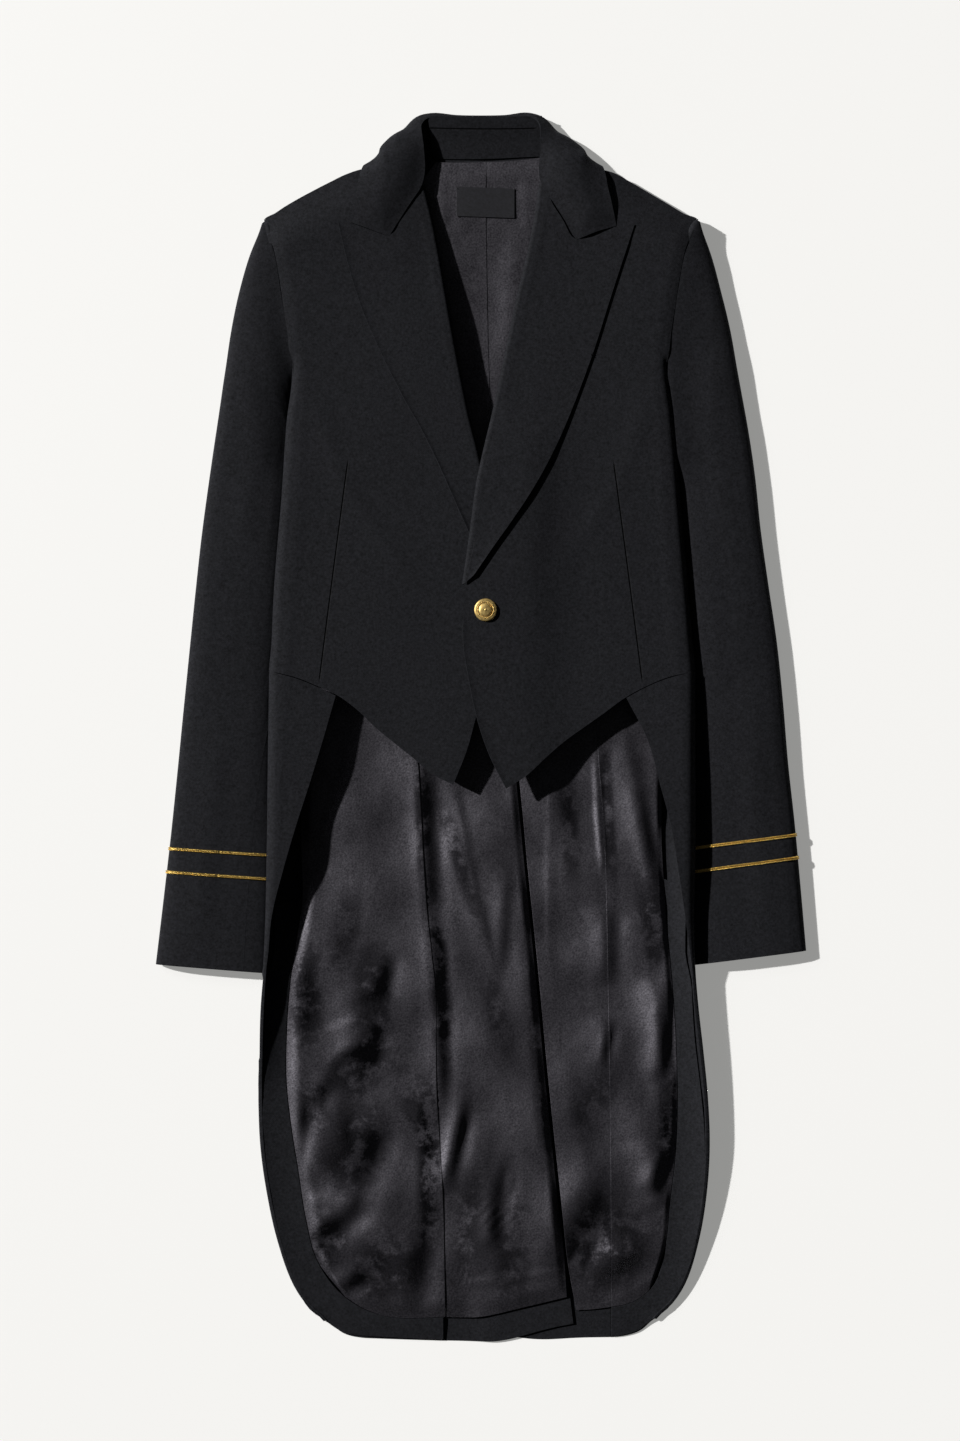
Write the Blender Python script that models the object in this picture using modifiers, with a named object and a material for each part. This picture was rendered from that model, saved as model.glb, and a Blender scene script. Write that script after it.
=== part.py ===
"""A wool tailcoat laid flat on its back, with the fronts fastened by one button.

X runs across the coat, to the right of someone who looks down at it. Y runs from the hem to the collar
and Z up from the surface that it lies on. "right" and "left" are the wearer's, so "right" is at -X.
Sizes are in millimetres until a mesh is made.
"""

import math

import bmesh
import bpy
from mathutils import Vector

MM = 0.001

# Cloth, in mm
WOOL = 1.5
FRONT_WOOL = 1.8
LINING = 1.0
FACING = 1.2
SEAM_GAP = 0.3
REST_GAP = 0.3

# How far the layers stand up, in mm
LAYER = WOOL + REST_GAP
SHOULDER_ROUND = 13.0
SIDE_ROUND = 10.0
LAPEL_OVER_FRONT = 2.25
FRONT_INSIDE_ROLL = 4.2
BREAK_RUN = 8.0
NECK_LIFT = (426.0, 454.0)
VENT_LIFT_RUN = 26.0
VENT_LIFT_CLEAR = 10.0
VENT_LIFT_TOP = 22.0
LINING_LEAD = 12.0
LINING_FROM_VENT = 1.2
CURVE_CLEAR = 0.8
FACING_INSET = 7.5
UNDERARM_TOP = 330.0
UNDERARM_RUN = 42.0

# Trims, in mm
BUTTON_RADIUS = 10.0
BUTTON_CENTRE = (4.0, 104.0)
BRAID_WIDTH = 3.0
BRAID_THICK = 0.8
BRAIDS_ABOVE_HEM = {"upper": 102.0, "lower": 80.5}
LABEL_SIZE = (51.0, 26.0)
LABEL_CENTRE = (4.0, 464.0)
LABEL_THICK = 0.6
LABEL_TILT = 1.5
BRAID_CLEAR = 0.35
BRAID_ANGLES = (174.0, 4.0)

# Height of the fronts along the shoulder seam: distance from the middle of the coat, z
SHOULDER_RIDGE = [(190, 5.2), (105, 5.6), (50, 9)]
# Height of the fronts' outer face: y, z
FRONT_TOP = [(505, 11), (470, 13), (430, 14), (380, 15), (300, 16), (200, 16.5), (100, 17), (40, 18),
             (-60, 18)]
# How far the free edge of a lapel stands off the front: y, z
LAPEL_EDGE_LIFT = [(450, 0.1), (300, 0.3), (200, 1.2), (110, 1.4)]
# How much the upper front is raised by the one it covers: y, z
OVERLAP_RAISE = [(280, 0), (240, 4.6), (215, 5.7), (125, 5.7), (95, 3.8), (60, 2.8), (-60, 2.4)]
OVERLAP_FADE = (35.0, 85.0)
# Edge of the skirt, where its cloth turns up from the floor: y, rise of the edge, width of the turn
SKIRT_RISE = {
    "right": [(50, 13, 24), (-27, 15, 26), (-106, 16, 28), (-186, 12, 28), (-250, 6, 28),
              (-310, 3.2, 26),
              (-414, 2.4, 24), (-505, 1.6, 20), (-541, 1.0, 16)],
    "left": [(50, 13, 24), (-27, 15, 26), (-106, 16, 28), (-186, 15, 30), (-250, 14, 34),
             (-360, 12, 36),
             (-414, 9, 32), (-467, 5.5, 28), (-505, 2.6, 22), (-541, 1.2, 16)],
}
# Top of the skirt where it folds back over itself: y, z
SKIRT_TOP = {
    "right": [(50, 19), (-27, 22), (-106, 22.5), (-150, 19.5), (-190, 15.4), (-250, 9.4), (-310, 6.4),
              (-414, 5.4), (-505, 4.4), (-541, 3.8)],
    "left": [(50, 19), (-27, 22), (-106, 22.5), (-150, 20.5), (-190, 18.4), (-250, 17.2), (-360, 15.2),
             (-414, 12), (-467, 8.4), (-505, 5.4), (-541, 4.0)],
}

# Curves as (x, y), from collar to hem unless it says otherwise
CENTRE_BACK = [(3, 502), (3, 440), (6, 300), (14, 150), (26, 10), (32, -40)]
VENT_EDGE = [(32, -40), (40, -124), (49, -212), (58, -309), (69, -414), (78, -494), (82, -526)]
UNDERLAP_EDGE = [(32, -40), (16, -72), (2, -110), (-6, -160), (-6, -212), (2, -309), (13, -414),
                 (21, -500), (22, -537)]

CUT = {
    "right": {
        "shoulder": [(-190, 446), (-175, 458), (-151, 472), (-123, 486), (-104, 493), (-78, 488),
                     (-53, 480)],
        "armhole_side": [(-190, 446), (-184, 430), (-177, 395), (-172, 360), (-168, 334), (-166, 303),
                         (-170, 263), (-174, 202), (-180, 131), (-183, 70), (-185, 50.6)],
        "roll": [(-53, 480), (-43, 439), (-32, 378), (-22, 325), (-11, 272), (0, 228), (11, 166),
                 (18, 111)],
        "front_edge": [(18, 111), (15, 78), (8, 50), (-3, 15), (-11, -14), (-20.2, -45.3),
                       (-24.5, -49.5)],
        "front_hem": [(-185, 50.6), (-159, 43.4), (-128, 29.7), (-114, 21), (-92, 0), (-53.5, -31),
                      (-39.6, -42.7), (-24.5, -49.5)],
        "lapel_outer": [(-126, 446), (-117, 408), (-103, 364), (-75, 303), (-45, 248), (-10, 170),
                        (13, 122)],
        "lapel_top": [(-51, 479), (-81, 431), (-126, 446)],
        "back_neck": [(-188.6, 445), (-151, 470.5), (-106, 487.5), (-90, 486.5), (-76, 493),
                      (-60, 501.6), (3, 501.5)],
        "back_armhole": [(-188.6, 445), (-182, 428), (-176.5, 395), (-171.5, 370)],
        "back_seam": [(-171.5, 370), (-150, 300), (-112, 200), (-84, 100), (-68, 50)],
        "back_hem": [(-33, -541), (0, -541.5), (18, -541), (43, -535), (61, -530), (82, -526)],
        "side_outer": [(-172.5, 364), (-166, 334), (-157, 303), (-153, 286), (-158, 263),
                       (-162, 202), (-168, 131),
                       (-171, 70), (-173, 50)],
        "skirt_seam": [(-68, 50), (-57, -29), (-50, -150), (-41, -238), (-41, -309), (-35, -414),
                       (-33, -541)],
        "skirt_outer": [(-185, 50), (-186, -27), (-187, -106), (-189, -186), (-193, -247), (-195, -313),
                        (-194, -362), (-187, -414), (-174, -467), (-157, -505), (-140, -526)],
        "skirt_hem": [(-33, -541), (-80, -539.5), (-115, -537), (-140, -526)],
        "skirt_front": [(-128, 29), (-146, -34), (-160, -76), (-174, -124), (-186, -172), (-189, -196)],
        "lining_side": [(-40, 500), (-60, 470), (-90, 420), (-95, 330), (-88, 200), (-78, 100),
                        (-66, 44)],
        "lining_seam": [(-66, 44), (-57, -29), (-50, -150), (-41, -238), (-41, -309), (-35, -414),
                        (-33, -520)],
        "lining_neck": [(-40, 500), (-18, 499.5), (3, 500)],
        "lining_hem": [(-33, -520), (0, -519.5), (34, -512), (76, -502)],
        "lining_inside": [(-158, 44), (-159, -27), (-159, -106), (-158, -150)],
        "facing_line": [(-158, -150), (-164, -190), (-171, -247), (-172, -313), (-166, -362),
                        (-158, -410),
                        (-148, -463), (-120, -502)],
        "lining_skirt_hem": [(-120, -502), (-98, -515), (-71, -521), (-33, -520)],
    },
    "left": {
        "shoulder": [(190, 446), (171, 458), (146, 473), (121, 487), (106, 493), (78, 488), (51, 480)],
        "armhole_side": [(190, 446), (182, 430), (174, 395), (169, 360), (165, 334), (165, 303),
                         (169, 263),
                         (174, 202), (180, 131), (185, 70), (187, 50.6)],
        "roll": [(51, 480), (45, 439), (33, 386), (21, 329), (9, 272), (-3, 219), (-10, 166),
                 (-18, 111)],
        "front_edge": [(-18, 111), (-16, 78), (-11, 43), (-3, 6), (7, -23), (16.7, -45.3), (22, -53)],
        "front_hem": [(187, 50.6), (158, 42.6), (128, 27.7), (105, 11), (70, -14), (45, -37),
                      (37, -43.6),
                      (22, -53)],
        "lapel_outer": [(135, 443), (115, 382), (96, 323), (70, 257), (43, 206), (8, 155), (-14, 122)],
        "lapel_top": [(52, 479), (84, 428), (135, 443)],
        "back_neck": [(188.6, 445), (151, 470.5), (106, 487.5), (92, 487), (78, 494), (62, 501.6),
                      (3, 501.5)],
        "back_armhole": [(188.6, 445), (179.5, 428), (172, 395), (168.5, 370)],
        "back_seam": [(168.5, 370), (152, 300), (122, 200), (103, 100), (99, 50)],
        "back_hem": [(115, -538), (87, -538.5), (52, -540), (22, -537)],
        "side_outer": [(169.2, 364), (163.5, 334), (156, 303), (152.6, 286), (157, 263),
                       (162, 202), (168, 131),
                       (173, 70), (175, 50)],
        "skirt_seam": [(99, 50), (104, -36), (109, -106), (112, -238), (114, -370), (115, -538)],
        "skirt_outer": [(187, 50), (187, -27), (187, -106), (186, -186), (190, -247), (197, -309),
                        (200, -362),
                        (197, -414), (187, -467), (170, -509), (156, -524)],
        "skirt_hem": [(115, -538), (128, -536.5), (143, -532), (156, -524)],
        "skirt_front": [(128, 27), (143, 4), (153, -32), (168, -89), (175, -133), (184, -196)],
        "lining_side": [(53, 504), (66, 470), (90, 420), (95, 330), (96, 200), (97, 100), (99, 44)],
        "lining_seam": [(99, 44), (104, -36), (109, -106), (112, -238), (114, -370), (115, -511)],
        "lining_neck": [(53, 504), (28, 501), (3, 500)],
        "lining_hem": [(115, -511), (100, -513), (84, -514)],
        "lining_inside": [(159, 44), (160, -27), (160, -106), (162, -133)],
        "facing_line": [(162, -133), (166, -186), (171, -238), (174, -309), (173, -366),
                        (167, -419), (161, -467),
                        (149, -496)],
        "lining_skirt_hem": [(149, -496), (139, -504), (127, -509), (115, -511)],
    },
}

# Sleeve sections, shoulder to cuff. Each is a line from the outer fold to the inner one, both as x and y.
# open is 1 where the section opens into the armhole. seam is the angle of the inner seam, over the fold.
SLEEVE = {
    "right": [
        # out_x, out_y, in_x, in_y, height, open, seam
        (-193.4, 442.6, -190.5, 444, 7.6, 1.0, -40),
        (-199.6, 430, -184.4, 429, 12.0, 1.0, -40),
        (-208, 404, -179.1, 402, 13.4, 1.0, -40),
        (-216, 374, -174.3, 372, 13.8, 1.0, -40),
        (-223, 335, -168.5, 335, 13.8, 1.0, -40),
        (-229, 292, -165.2, 296, 13.2, 0.3, -40),
        (-236, 246, -168.6, 250, 13.0, 0.0, -40),
        (-247, 166, -174.8, 170, 13.0, 0.0, -40),
        (-258, 61, -181.2, 62, 13.0, 0.0, -5),
        (-266, -20, -184.0, -22, 12.6, 0.0, 41),
        (-275, -106, -184.6, -112, 12.2, 0.0, 59),
        (-287, -208, -187.5, -216, 12.0, 0.0, 62),
    ],
    "left": [
        (193.4, 442.6, 190.5, 444, 7.6, 1.0, -40),
        (200, 427, 182.0, 427, 12.0, 1.0, -40),
        (208, 400, 175.4, 398, 13.4, 1.0, -40),
        (216, 368, 170.4, 368, 13.8, 1.0, -40),
        (224, 332, 165.5, 335, 13.8, 1.0, -40),
        (230, 292, 164.0, 296, 13.2, 0.3, -40),
        (239, 246, 167.6, 250, 13.0, 0.0, -40),
        (248, 166, 174.4, 170, 13.0, 0.0, -40),
        (263, 61, 182.6, 62, 13.0, 0.0, -40),
        (270, -20, 184.6, -22, 12.6, 0.0, -40),
        (278, -95, 184.6, -107, 12.2, 0.0, -40),
        (287, -196, 184.0, -209, 12.0, 0.0, -40),
    ],
}
SLEEVE_FOLD_HEIGHT = 4.0
SLEEVE_OUTER_SEAM = 216.0
SLEEVE_OUTER_ROUND = 0.5
SLEEVE_INNER_ROUND = 0.75
SLEEVE_FLATNESS = 0.75

# How the front's cloth goes round the side: distance in from the fold, share of its height
SIDE_SECTION = [(11.5, 0.0), (8.6, 0.0), (5.5, 0.18), (2.2, 0.45), (0.0, 0.72), (2.4, 0.90)]
# The same points where the cloth stops at the armhole
ARMHOLE_SECTION = [(0.0, 0.90), (1.4, 0.92), (2.8, 0.94), (4.2, 0.955), (5.8, 0.97), (7.4, 0.985)]
# How the lapel rolls at its fold: distance in from the roll line, depth under its top
LAPEL_ROLL = [(1.1, 3.6), (0.0, 1.7), (1.2, 0.4), (4.0, 0.0)]
# How the skirt's edge folds over: share of the bend's run, share of its climb
SKIRT_FOLD = [(0.12, 0.52), (0.45, 0.86), (1.0, 1.0)]
SKIRT_BEND = 9.0
SKIRT_LIP = 2.2
WAIST_GAP = 0.5
SKIRT_CROWDING = 1.6

# Collar leaf sections, from the right notch round the back to the left one. fold is the line that it
# turns over, rim the outermost line, edge its free edge, turn how far it has gone round to the underside.
COLLAR = [
    # fold x, y, z, rim x, y, z, edge x, y, z, turn
    (-81, 432.6, 18.6, -98, 439, 19.4, -115, 445, 19.2, 0),
    (-66, 456.5, 18.8, -88, 461, 19.8, -112, 462, 18.4, 0),
    (-51, 481, 18.6, -80, 484, 19.6, -108, 479, 16.4, 0),
    (-50, 502, 17.4, -82, 503, 17.0, -103, 495, 10.5, 0),
    (-51, 518, 15.6, -84, 514, 10.0, -94, 491, 0.6, 0.85),
    (-52, 532, 13.0, -68, 529, 6.5, -72, 489, 0, 1),
    (-44, 537, 9.8, -52, 540.9, 5.0, -46, 489, 0, 1),
    (-16, 536, 8.9, -17, 539.5, 4.4, -14, 489, 0, 1),
    (16, 536, 8.9, 17, 539.5, 4.4, 14, 489, 0, 1),
    (42, 538, 9.8, 50, 540.9, 5.0, 46, 489, 0, 1),
    (51, 532, 13.0, 68, 526, 6.5, 74, 489, 0, 1),
    (52, 518, 15.6, 86, 512, 10.0, 98, 491, 0.6, 0.85),
    (52, 502, 17.4, 86, 502, 17.0, 107, 494, 10.5, 0),
    (52, 481, 18.6, 82, 484, 19.6, 111, 477, 16.4, 0),
    (68, 456, 18.8, 92, 461, 19.8, 115, 461, 18.4, 0),
    (84, 429.6, 18.6, 102, 437, 19.4, 119, 442, 19.2, 0),
]

# The inner face of the collar's stand, along the neck seam and under the fold, as (x, y, z)
STAND_LOW = [(-42, 502.6, 1.8), (0, 502.6, 1.8), (54, 505.2, 1.8)]
STAND_HIGH = [(-47, 535.2, 7.4), (0, 534.8, 7.0), (50, 535.2, 7.4)]

# Half of the button's section: share of its radius, z
BUTTON_PROFILE = [(0, 4.6), (0.30, 4.45), (0.52, 3.95), (0.62, 3.35), (0.68, 3.3), (0.76, 3.45),
                  (0.90, 3.2), (0.98, 2.5), (1.0, 1.9), (0.96, 1.4), (0.80, 1.1), (0.30, 0.9),
                  (0.26, 0.0), (0, 0)]

# Rows of cells along the seams, which the pieces on both sides share
ARMHOLE_CELLS = 3
SIDE_CELLS = 7
TAIL_CELLS = 14
FACING_CELLS = 9
HEM_CELLS = 5
LINING_SIDE_CELLS = 9

MATERIALS = {
    # base colour, roughness, metallic
    "wool": ((0.012, 0.012, 0.015, 1), 0.85, 0.0),
    "satin": ((0.018, 0.016, 0.021, 1), 0.35, 0.0),
    "label_cloth": ((0.006, 0.006, 0.007, 1), 0.6, 0.0),
    "gold_braid": ((0.60, 0.42, 0.12, 1), 0.45, 0.8),
    "gold_metal": ((0.80, 0.58, 0.20, 1), 0.25, 1.0),
}


def mix(a, b, t):
    """The point or number that is t of the way from a to b."""
    return a + (b - a) * t


def smooth_step(t):
    t = min(max(t, 0.0), 1.0)
    return t * t * (3 - 2 * t)


def shares(count):
    return [i / count for i in range(count + 1)]


def table_value(table, y, column=1):
    """A column of a table whose rows run down from the highest y, read between its rows."""
    if y >= table[0][0]:
        return table[0][column]
    for above, below in zip(table, table[1:]):
        if y >= below[0]:
            return mix(above[column], below[column], (above[0] - y) / (above[0] - below[0]))
    return table[-1][column]


def x_on(points, y):
    """Where a curve that runs from collar to hem is at this y."""
    return table_value([(b, a) for a, b in points], y)


def spline(points, t):
    """A point of the smooth curve through all the points, with t from 0 to their last index."""
    i = min(int(t), len(points) - 2)
    f = t - i
    p1, p2 = Vector(points[i]), Vector(points[i + 1])
    p0 = Vector(points[i - 1]) if i else p1 * 2 - p2
    p3 = Vector(points[i + 2]) if i + 2 < len(points) else p2 * 2 - p1
    return (p1 * 2 + (p2 - p0) * f + (p0 * 2 - p1 * 5 + p2 * 4 - p3) * f * f
            + (p1 * 3 - p0 - p2 * 3 + p3) * f ** 3) / 2


def straight(points, t):
    """As spline, with straight runs between the points."""
    i = min(int(t), len(points) - 2)
    return mix(Vector(points[i]), Vector(points[i + 1]), t - i)


def walk(points, places, reader=spline, steps=8):
    """Points of the curve at these shares of its length. A whole number means that many even cells."""
    if isinstance(places, int):
        places = shares(places)
    passed = [reader(points, i / steps) for i in range(steps * (len(points) - 1) + 1)]
    reach = [0.0]
    for a, b in zip(passed, passed[1:]):
        reach.append(reach[-1] + (b - a).length)
    found = []
    i = 1
    for place in places:
        wanted = place * reach[-1]
        while reach[i] < wanted and i < len(reach) - 1:
            i += 1
        found.append(mix(passed[i - 1], passed[i], (wanted - reach[i - 1]) / (reach[i] - reach[i - 1])))
    return found


def joined(*runs):
    """Runs of points, end to end, without the point that two of them share."""
    points = list(runs[0])
    for run in runs[1:]:
        points += run[1:]
    return points


def fill(outer, inner, top, bottom):
    """Rows of points between four edges. A row runs from outer to inner, the rows from top to bottom."""
    rows, columns = len(outer) - 1, len(top) - 1
    grid = []
    for r in range(rows + 1):
        v = r / rows
        line = []
        for c in range(columns + 1):
            u = (top[c] - top[0]).length / (top[-1] - top[0]).length
            sides = mix(outer[r], inner[r], u)
            ends = mix(top[c], bottom[c], v)
            corners = mix(mix(outer[0], inner[0], u), mix(outer[-1], inner[-1], u), v)
            line.append(sides + ends - corners)
        grid.append(line)
    return grid


def nearest(points, x, y):
    """Distance in plan from a point to a polyline."""
    here = Vector((x, y))
    found = []
    for a, b in zip(points, points[1:]):
        a, run = Vector(a), Vector(b) - Vector(a)
        share = min(max((here - a).dot(run) / run.length_squared, 0), 1)
        found.append((here - a - run * share).length)
    return min(found)


def pulled_back(grid, ends, gap=SEAM_GAP / 2):
    """Moves the named ends of a grid in by half a seam's gap."""
    rows = [[Vector(p) for p in row] for row in grid]
    for row in rows:
        if "first" in ends:
            row[0] += (row[1] - row[0]).normalized() * gap
        if "last" in ends:
            row[-1] += (row[-2] - row[-1]).normalized() * gap
    for edge, beside, name in ((0, 1, "top"), (-1, -2, "bottom")):
        if name in ends:
            rows[edge] = [p + (q - p).normalized() * gap for p, q in zip(rows[edge], rows[beside])]
    return rows


def raised(grid, height, amount=0.0):
    """The plan's points put on a surface, or that far above it along its normal."""
    step = 0.5
    made = []
    for row in grid:
        line = []
        for p in row:
            here = height(p.x, p.y)
            slope_x = (height(p.x + step, p.y) - height(p.x - step, p.y)) / (2 * step)
            slope_y = (height(p.x, p.y + step) - height(p.x, p.y - step)) / (2 * step)
            line.append(Vector((p.x, p.y, here)) + Vector((-slope_x, -slope_y, 1)).normalized() * amount)
        made.append(line)
    return made


def make_materials():
    made = {}
    for name, (colour, roughness, metallic) in MATERIALS.items():
        material = bpy.data.materials.new(name)
        material.use_nodes = True
        shader = material.node_tree.nodes["Principled BSDF"]
        shader.inputs["Base Color"].default_value = colour
        shader.inputs["Roughness"].default_value = roughness
        shader.inputs["Metallic"].default_value = metallic
        made[name] = material
    return made


def add_object(name, mesh, material):
    mesh.materials.append(material)
    mesh.shade_smooth()
    made = bpy.data.objects.new(name, mesh)
    COAT.objects.link(made)
    return made


def add_sheet(name, grid, thickness, material, outward, at=(0.5, 0.5)):
    """A wall of cloth. The grid is its outer face, which looks along outward at the given place."""
    row, column = int((len(grid) - 2) * at[0]), int((len(grid[0]) - 2) * at[1])
    a, b, c = grid[row][column], grid[row][column + 1], grid[row + 1][column]
    if (b - a).cross(c - a).z * outward < 0:
        grid = grid[::-1]
    work = bmesh.new()
    points = [[work.verts.new(p * MM) for p in line] for line in grid]
    for upper, lower in zip(points, points[1:]):
        for i in range(len(upper) - 1):
            work.faces.new((upper[i], upper[i + 1], lower[i + 1], lower[i]))
    mesh = bpy.data.meshes.new(name)
    work.to_mesh(mesh)
    work.free()
    made = add_object(name, mesh, material)
    wall = made.modifiers.new("wall", "SOLIDIFY")
    wall.thickness = thickness * MM
    wall.offset = -1
    return made


def add_wall(name, outer, inner, material):
    """A wall of cloth between two grids of the same size."""
    work = bmesh.new()
    faces = [[[work.verts.new(p * MM) for p in line] for line in grid] for grid in (outer, inner)]
    for grid in faces:
        for upper, lower in zip(grid, grid[1:]):
            for i in range(len(upper) - 1):
                work.faces.new((upper[i], upper[i + 1], lower[i + 1], lower[i]))
    first, second = [grid[0] + [line[-1] for line in grid[1:]] + grid[-1][-2::-1]
                     + [line[0] for line in grid[-2:0:-1]] for grid in faces]
    for i in range(len(first)):
        work.faces.new((first[i - 1], first[i], second[i], second[i - 1]))
    bmesh.ops.recalc_face_normals(work, faces=work.faces)
    mesh = bpy.data.meshes.new(name)
    work.to_mesh(mesh)
    work.free()
    return add_object(name, mesh, material)


def neck_lift(y, lead=0.0):
    """The back and its lining rise over the fall of the collar."""
    return LAYER * smooth_step((y + lead - NECK_LIFT[0]) / (NECK_LIFT[1] - NECK_LIFT[0]))


def vent_lift(x, y, lead=0.0):
    """The right tail rises over the underlap of the left one."""
    across = x + lead - x_on(UNDERLAP_EDGE, y) + VENT_LIFT_RUN + VENT_LIFT_CLEAR
    down = VENT_LIFT_TOP - y + lead
    return LAYER * smooth_step(across / VENT_LIFT_RUN) * smooth_step(down / VENT_LIFT_RUN)


def back_height(side, x, y, lead=0.0):
    """Underside of the back. With a lead, the lifts start that much before, for what lies on it."""
    low = neck_lift(y, lead)
    if side == "right":
        low += vent_lift(x, y, lead)
    return low


def skirt_height(side, x, y):
    """Underside of the skirt, which turns up towards its outer edge."""
    gap = nearest(CUT[side]["skirt_outer"], x, y)
    rise, width = [table_value(SKIRT_RISE[side], y, column) for column in (1, 2)]
    return rise * max(0.0, 1 - gap / width) ** 2


def front_top(side, x, y):
    """Outer face of a front, without the roundings at its shoulder and side."""
    high = table_value(FRONT_TOP, y)
    if side == "left":
        low, far = OVERLAP_FADE
        high += table_value(OVERLAP_RAISE, y) * (1 - smooth_step((x - low) / (far - low)))
    return high


def front_point(side, x, y, level):
    """A point of the front's outer face, lowered to its level and towards the shoulder line."""
    top = front_top(side, x, y) * level
    ridge = min(table_value(SHOULDER_RIDGE, abs(x)), top)
    gap = min(nearest(CUT[side]["shoulder"], x, y) / SHOULDER_ROUND, 1.0)
    return Vector((x, y, mix(ridge, top, math.sqrt(1 - (1 - gap) ** 2))))


def front_surface(side, rows, columns):
    """The outer face of a front, from its side seam on the floor, over the fold and to its edge."""
    shape = CUT[side]
    inward = 1 if side == "right" else -1
    folds = walk(shape["armhole_side"], rows)
    edge = walk(shape["roll"] + shape["front_edge"][1:], rows)
    plan = fill(folds, edge, walk(shape["shoulder"], columns), walk(shape["front_hem"], columns))
    grid = []
    for fold, row in zip(folds, plan):
        wrap = smooth_step((UNDERARM_TOP - fold.y) / UNDERARM_RUN)
        along = (row[1] - fold).normalized()
        line = []
        for (round_in, round_z), (flat_in, flat_z) in zip(SIDE_SECTION, ARMHOLE_SECTION):
            p = fold + (along if wrap < 0.5 else Vector((inward, 0))) * mix(flat_in, round_in, wrap)
            line.append(front_point(side, p.x, p.y, mix(flat_z, round_z, wrap)))
        across = [fold + along * SIDE_ROUND] + row[1:]
        line += [front_point(side, p.x, p.y, 1.0) for p in across]
        grid.append(line)
    return grid


def add_front(side, materials):
    grid = front_surface(side, 16, 9)
    # Above the break the edge stops inside the roll of the lapel.
    break_y = CUT[side]["roll"][-1][1]
    for row in grid:
        if row[-1].y > break_y - BREAK_RUN:
            row[-1] = row[-1] + (row[-2] - row[-1]).normalized() * FRONT_INSIDE_ROLL
    grid = pulled_back(grid, ("first", "top", "bottom"))
    add_sheet("front_" + side, grid, FRONT_WOOL, materials["wool"], 1, (0.5, 0.8))


def lapel_surface(side, rows, columns):
    """The outer face of a lapel, from inside its roll to its free edge."""
    shape = CUT[side]
    places = [0.96 * v for v in shares(rows)]
    rolls = walk(shape["roll"], places)
    edges = walk(shape["lapel_outer"], places)
    bottom = [mix(rolls[-1], edges[-1], u) for u in shares(columns)]
    plan = fill(rolls, edges, walk(shape["lapel_top"], columns, straight), bottom)
    grid = []
    for row in plan:
        roll = row[0]
        away = (row[-1] - roll).normalized()
        width = (row[-1] - roll).length
        rise = front_top(side, roll.x, roll.y) + LAPEL_OVER_FRONT
        line = []
        for run, drop in LAPEL_ROLL:
            p = roll + away * min(run, 0.3 * width)
            line.append(Vector((p.x, p.y, rise - drop)))
        for c, p in enumerate(row[1:], 1):
            lift = LAPEL_OVER_FRONT + table_value(LAPEL_EDGE_LIFT, p.y) * (c / columns) ** 2
            line.append(Vector((p.x, p.y, front_top(side, p.x, p.y) + lift)))
        grid.append(line)
    return grid


def add_lapel(side, materials):
    grid = pulled_back(lapel_surface(side, 12, 6), ("top",))
    add_sheet("lapel_" + side, grid, WOOL, materials["wool"], 1, (0.5, 0.8))


def add_back(side, materials):
    shape = CUT[side]
    outer = joined(walk(shape["back_armhole"], ARMHOLE_CELLS), walk(shape["back_seam"], SIDE_CELLS),
                   walk(shape["skirt_seam"], TAIL_CELLS))
    middle = CENTRE_BACK + (VENT_EDGE if side == "right" else UNDERLAP_EDGE)[1:]
    columns = 8
    neck, hem = walk(shape["back_neck"], columns), walk(shape["back_hem"], columns)
    plan = fill(outer, walk(middle, len(outer) - 1), neck, hem)
    grid = pulled_back(raised(plan, lambda x, y: back_height(side, x, y)), ("first", "last", "top"))
    add_sheet("back_" + side, grid, WOOL, materials["wool"], -1)


def add_side(side, materials):
    shape = CUT[side]
    inner = walk(shape["back_seam"], SIDE_CELLS)
    outer = walk(shape["side_outer"], SIDE_CELLS)
    plan = fill(outer, inner, walk([outer[0], inner[0]], 3), walk([outer[-1], inner[-1]], 3))
    grid = pulled_back(raised(plan, lambda x, y: 0.0), ("first", "last", "bottom"))
    add_sheet("side_" + side, grid, WOOL, materials["wool"], -1)


def skirt_surface(side, rows, columns):
    """The outer face of the skirt, from the back seam across the floor, up its edge and back over it."""
    shape = CUT[side]
    inward = 1 if side == "right" else -1
    outer, inner = walk(shape["skirt_outer"], rows), walk(shape["skirt_seam"], rows)
    places = [1 - (1 - u) ** SKIRT_CROWDING for u in shares(columns)]
    top = walk([inner[0], outer[0]], places)
    plan = fill(inner, outer, top, walk(shape["skirt_hem"], places))
    front = shape["skirt_front"]
    low_y, high_y = front[-1][1], outer[0].y
    top_run = abs(front[0][0] - outer[0].x)
    hem = [(abs(p.x), p.y - WAIST_GAP) for p in walk(shape["front_hem"], 24)]
    grid = []
    for row in plan:
        line = [Vector((p.x, p.y, skirt_height(side, p.x, p.y))) for p in row]
        fold = line[-1]
        turned = min(max((fold.y - low_y) / (high_y - low_y), 0), 1)
        drop = (high_y - front[0][1]) * turned
        length = max(abs(x_on(front, fold.y - drop) - fold.x) if turned else 0, SKIRT_LIP)
        bend = min(length, SKIRT_BEND)
        high = table_value(SKIRT_TOP[side], fold.y)
        runs = [(bend * run, climb) for run, climb in SKIRT_FOLD]
        runs += [(mix(bend, length, share) + 0.4 * share, 1.0) for share in (0.25, 0.5, 0.75, 1.0)]
        for run, climb in runs:
            under = table_value(hem, abs(outer[0].x) - top_run * run / length)
            y = fold.y - turned * max(high_y - under, 0)
            line.append(Vector((fold.x + inward * run, y, mix(fold.z, high, climb))))
        grid.append(line)
    return grid


def add_skirt(side, materials):
    grid = pulled_back(skirt_surface(side, TAIL_CELLS, 8), ("first", "top"))
    add_sheet("skirt_" + side, grid, WOOL, materials["wool"], -1, (0.3, 0.2))


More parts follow.
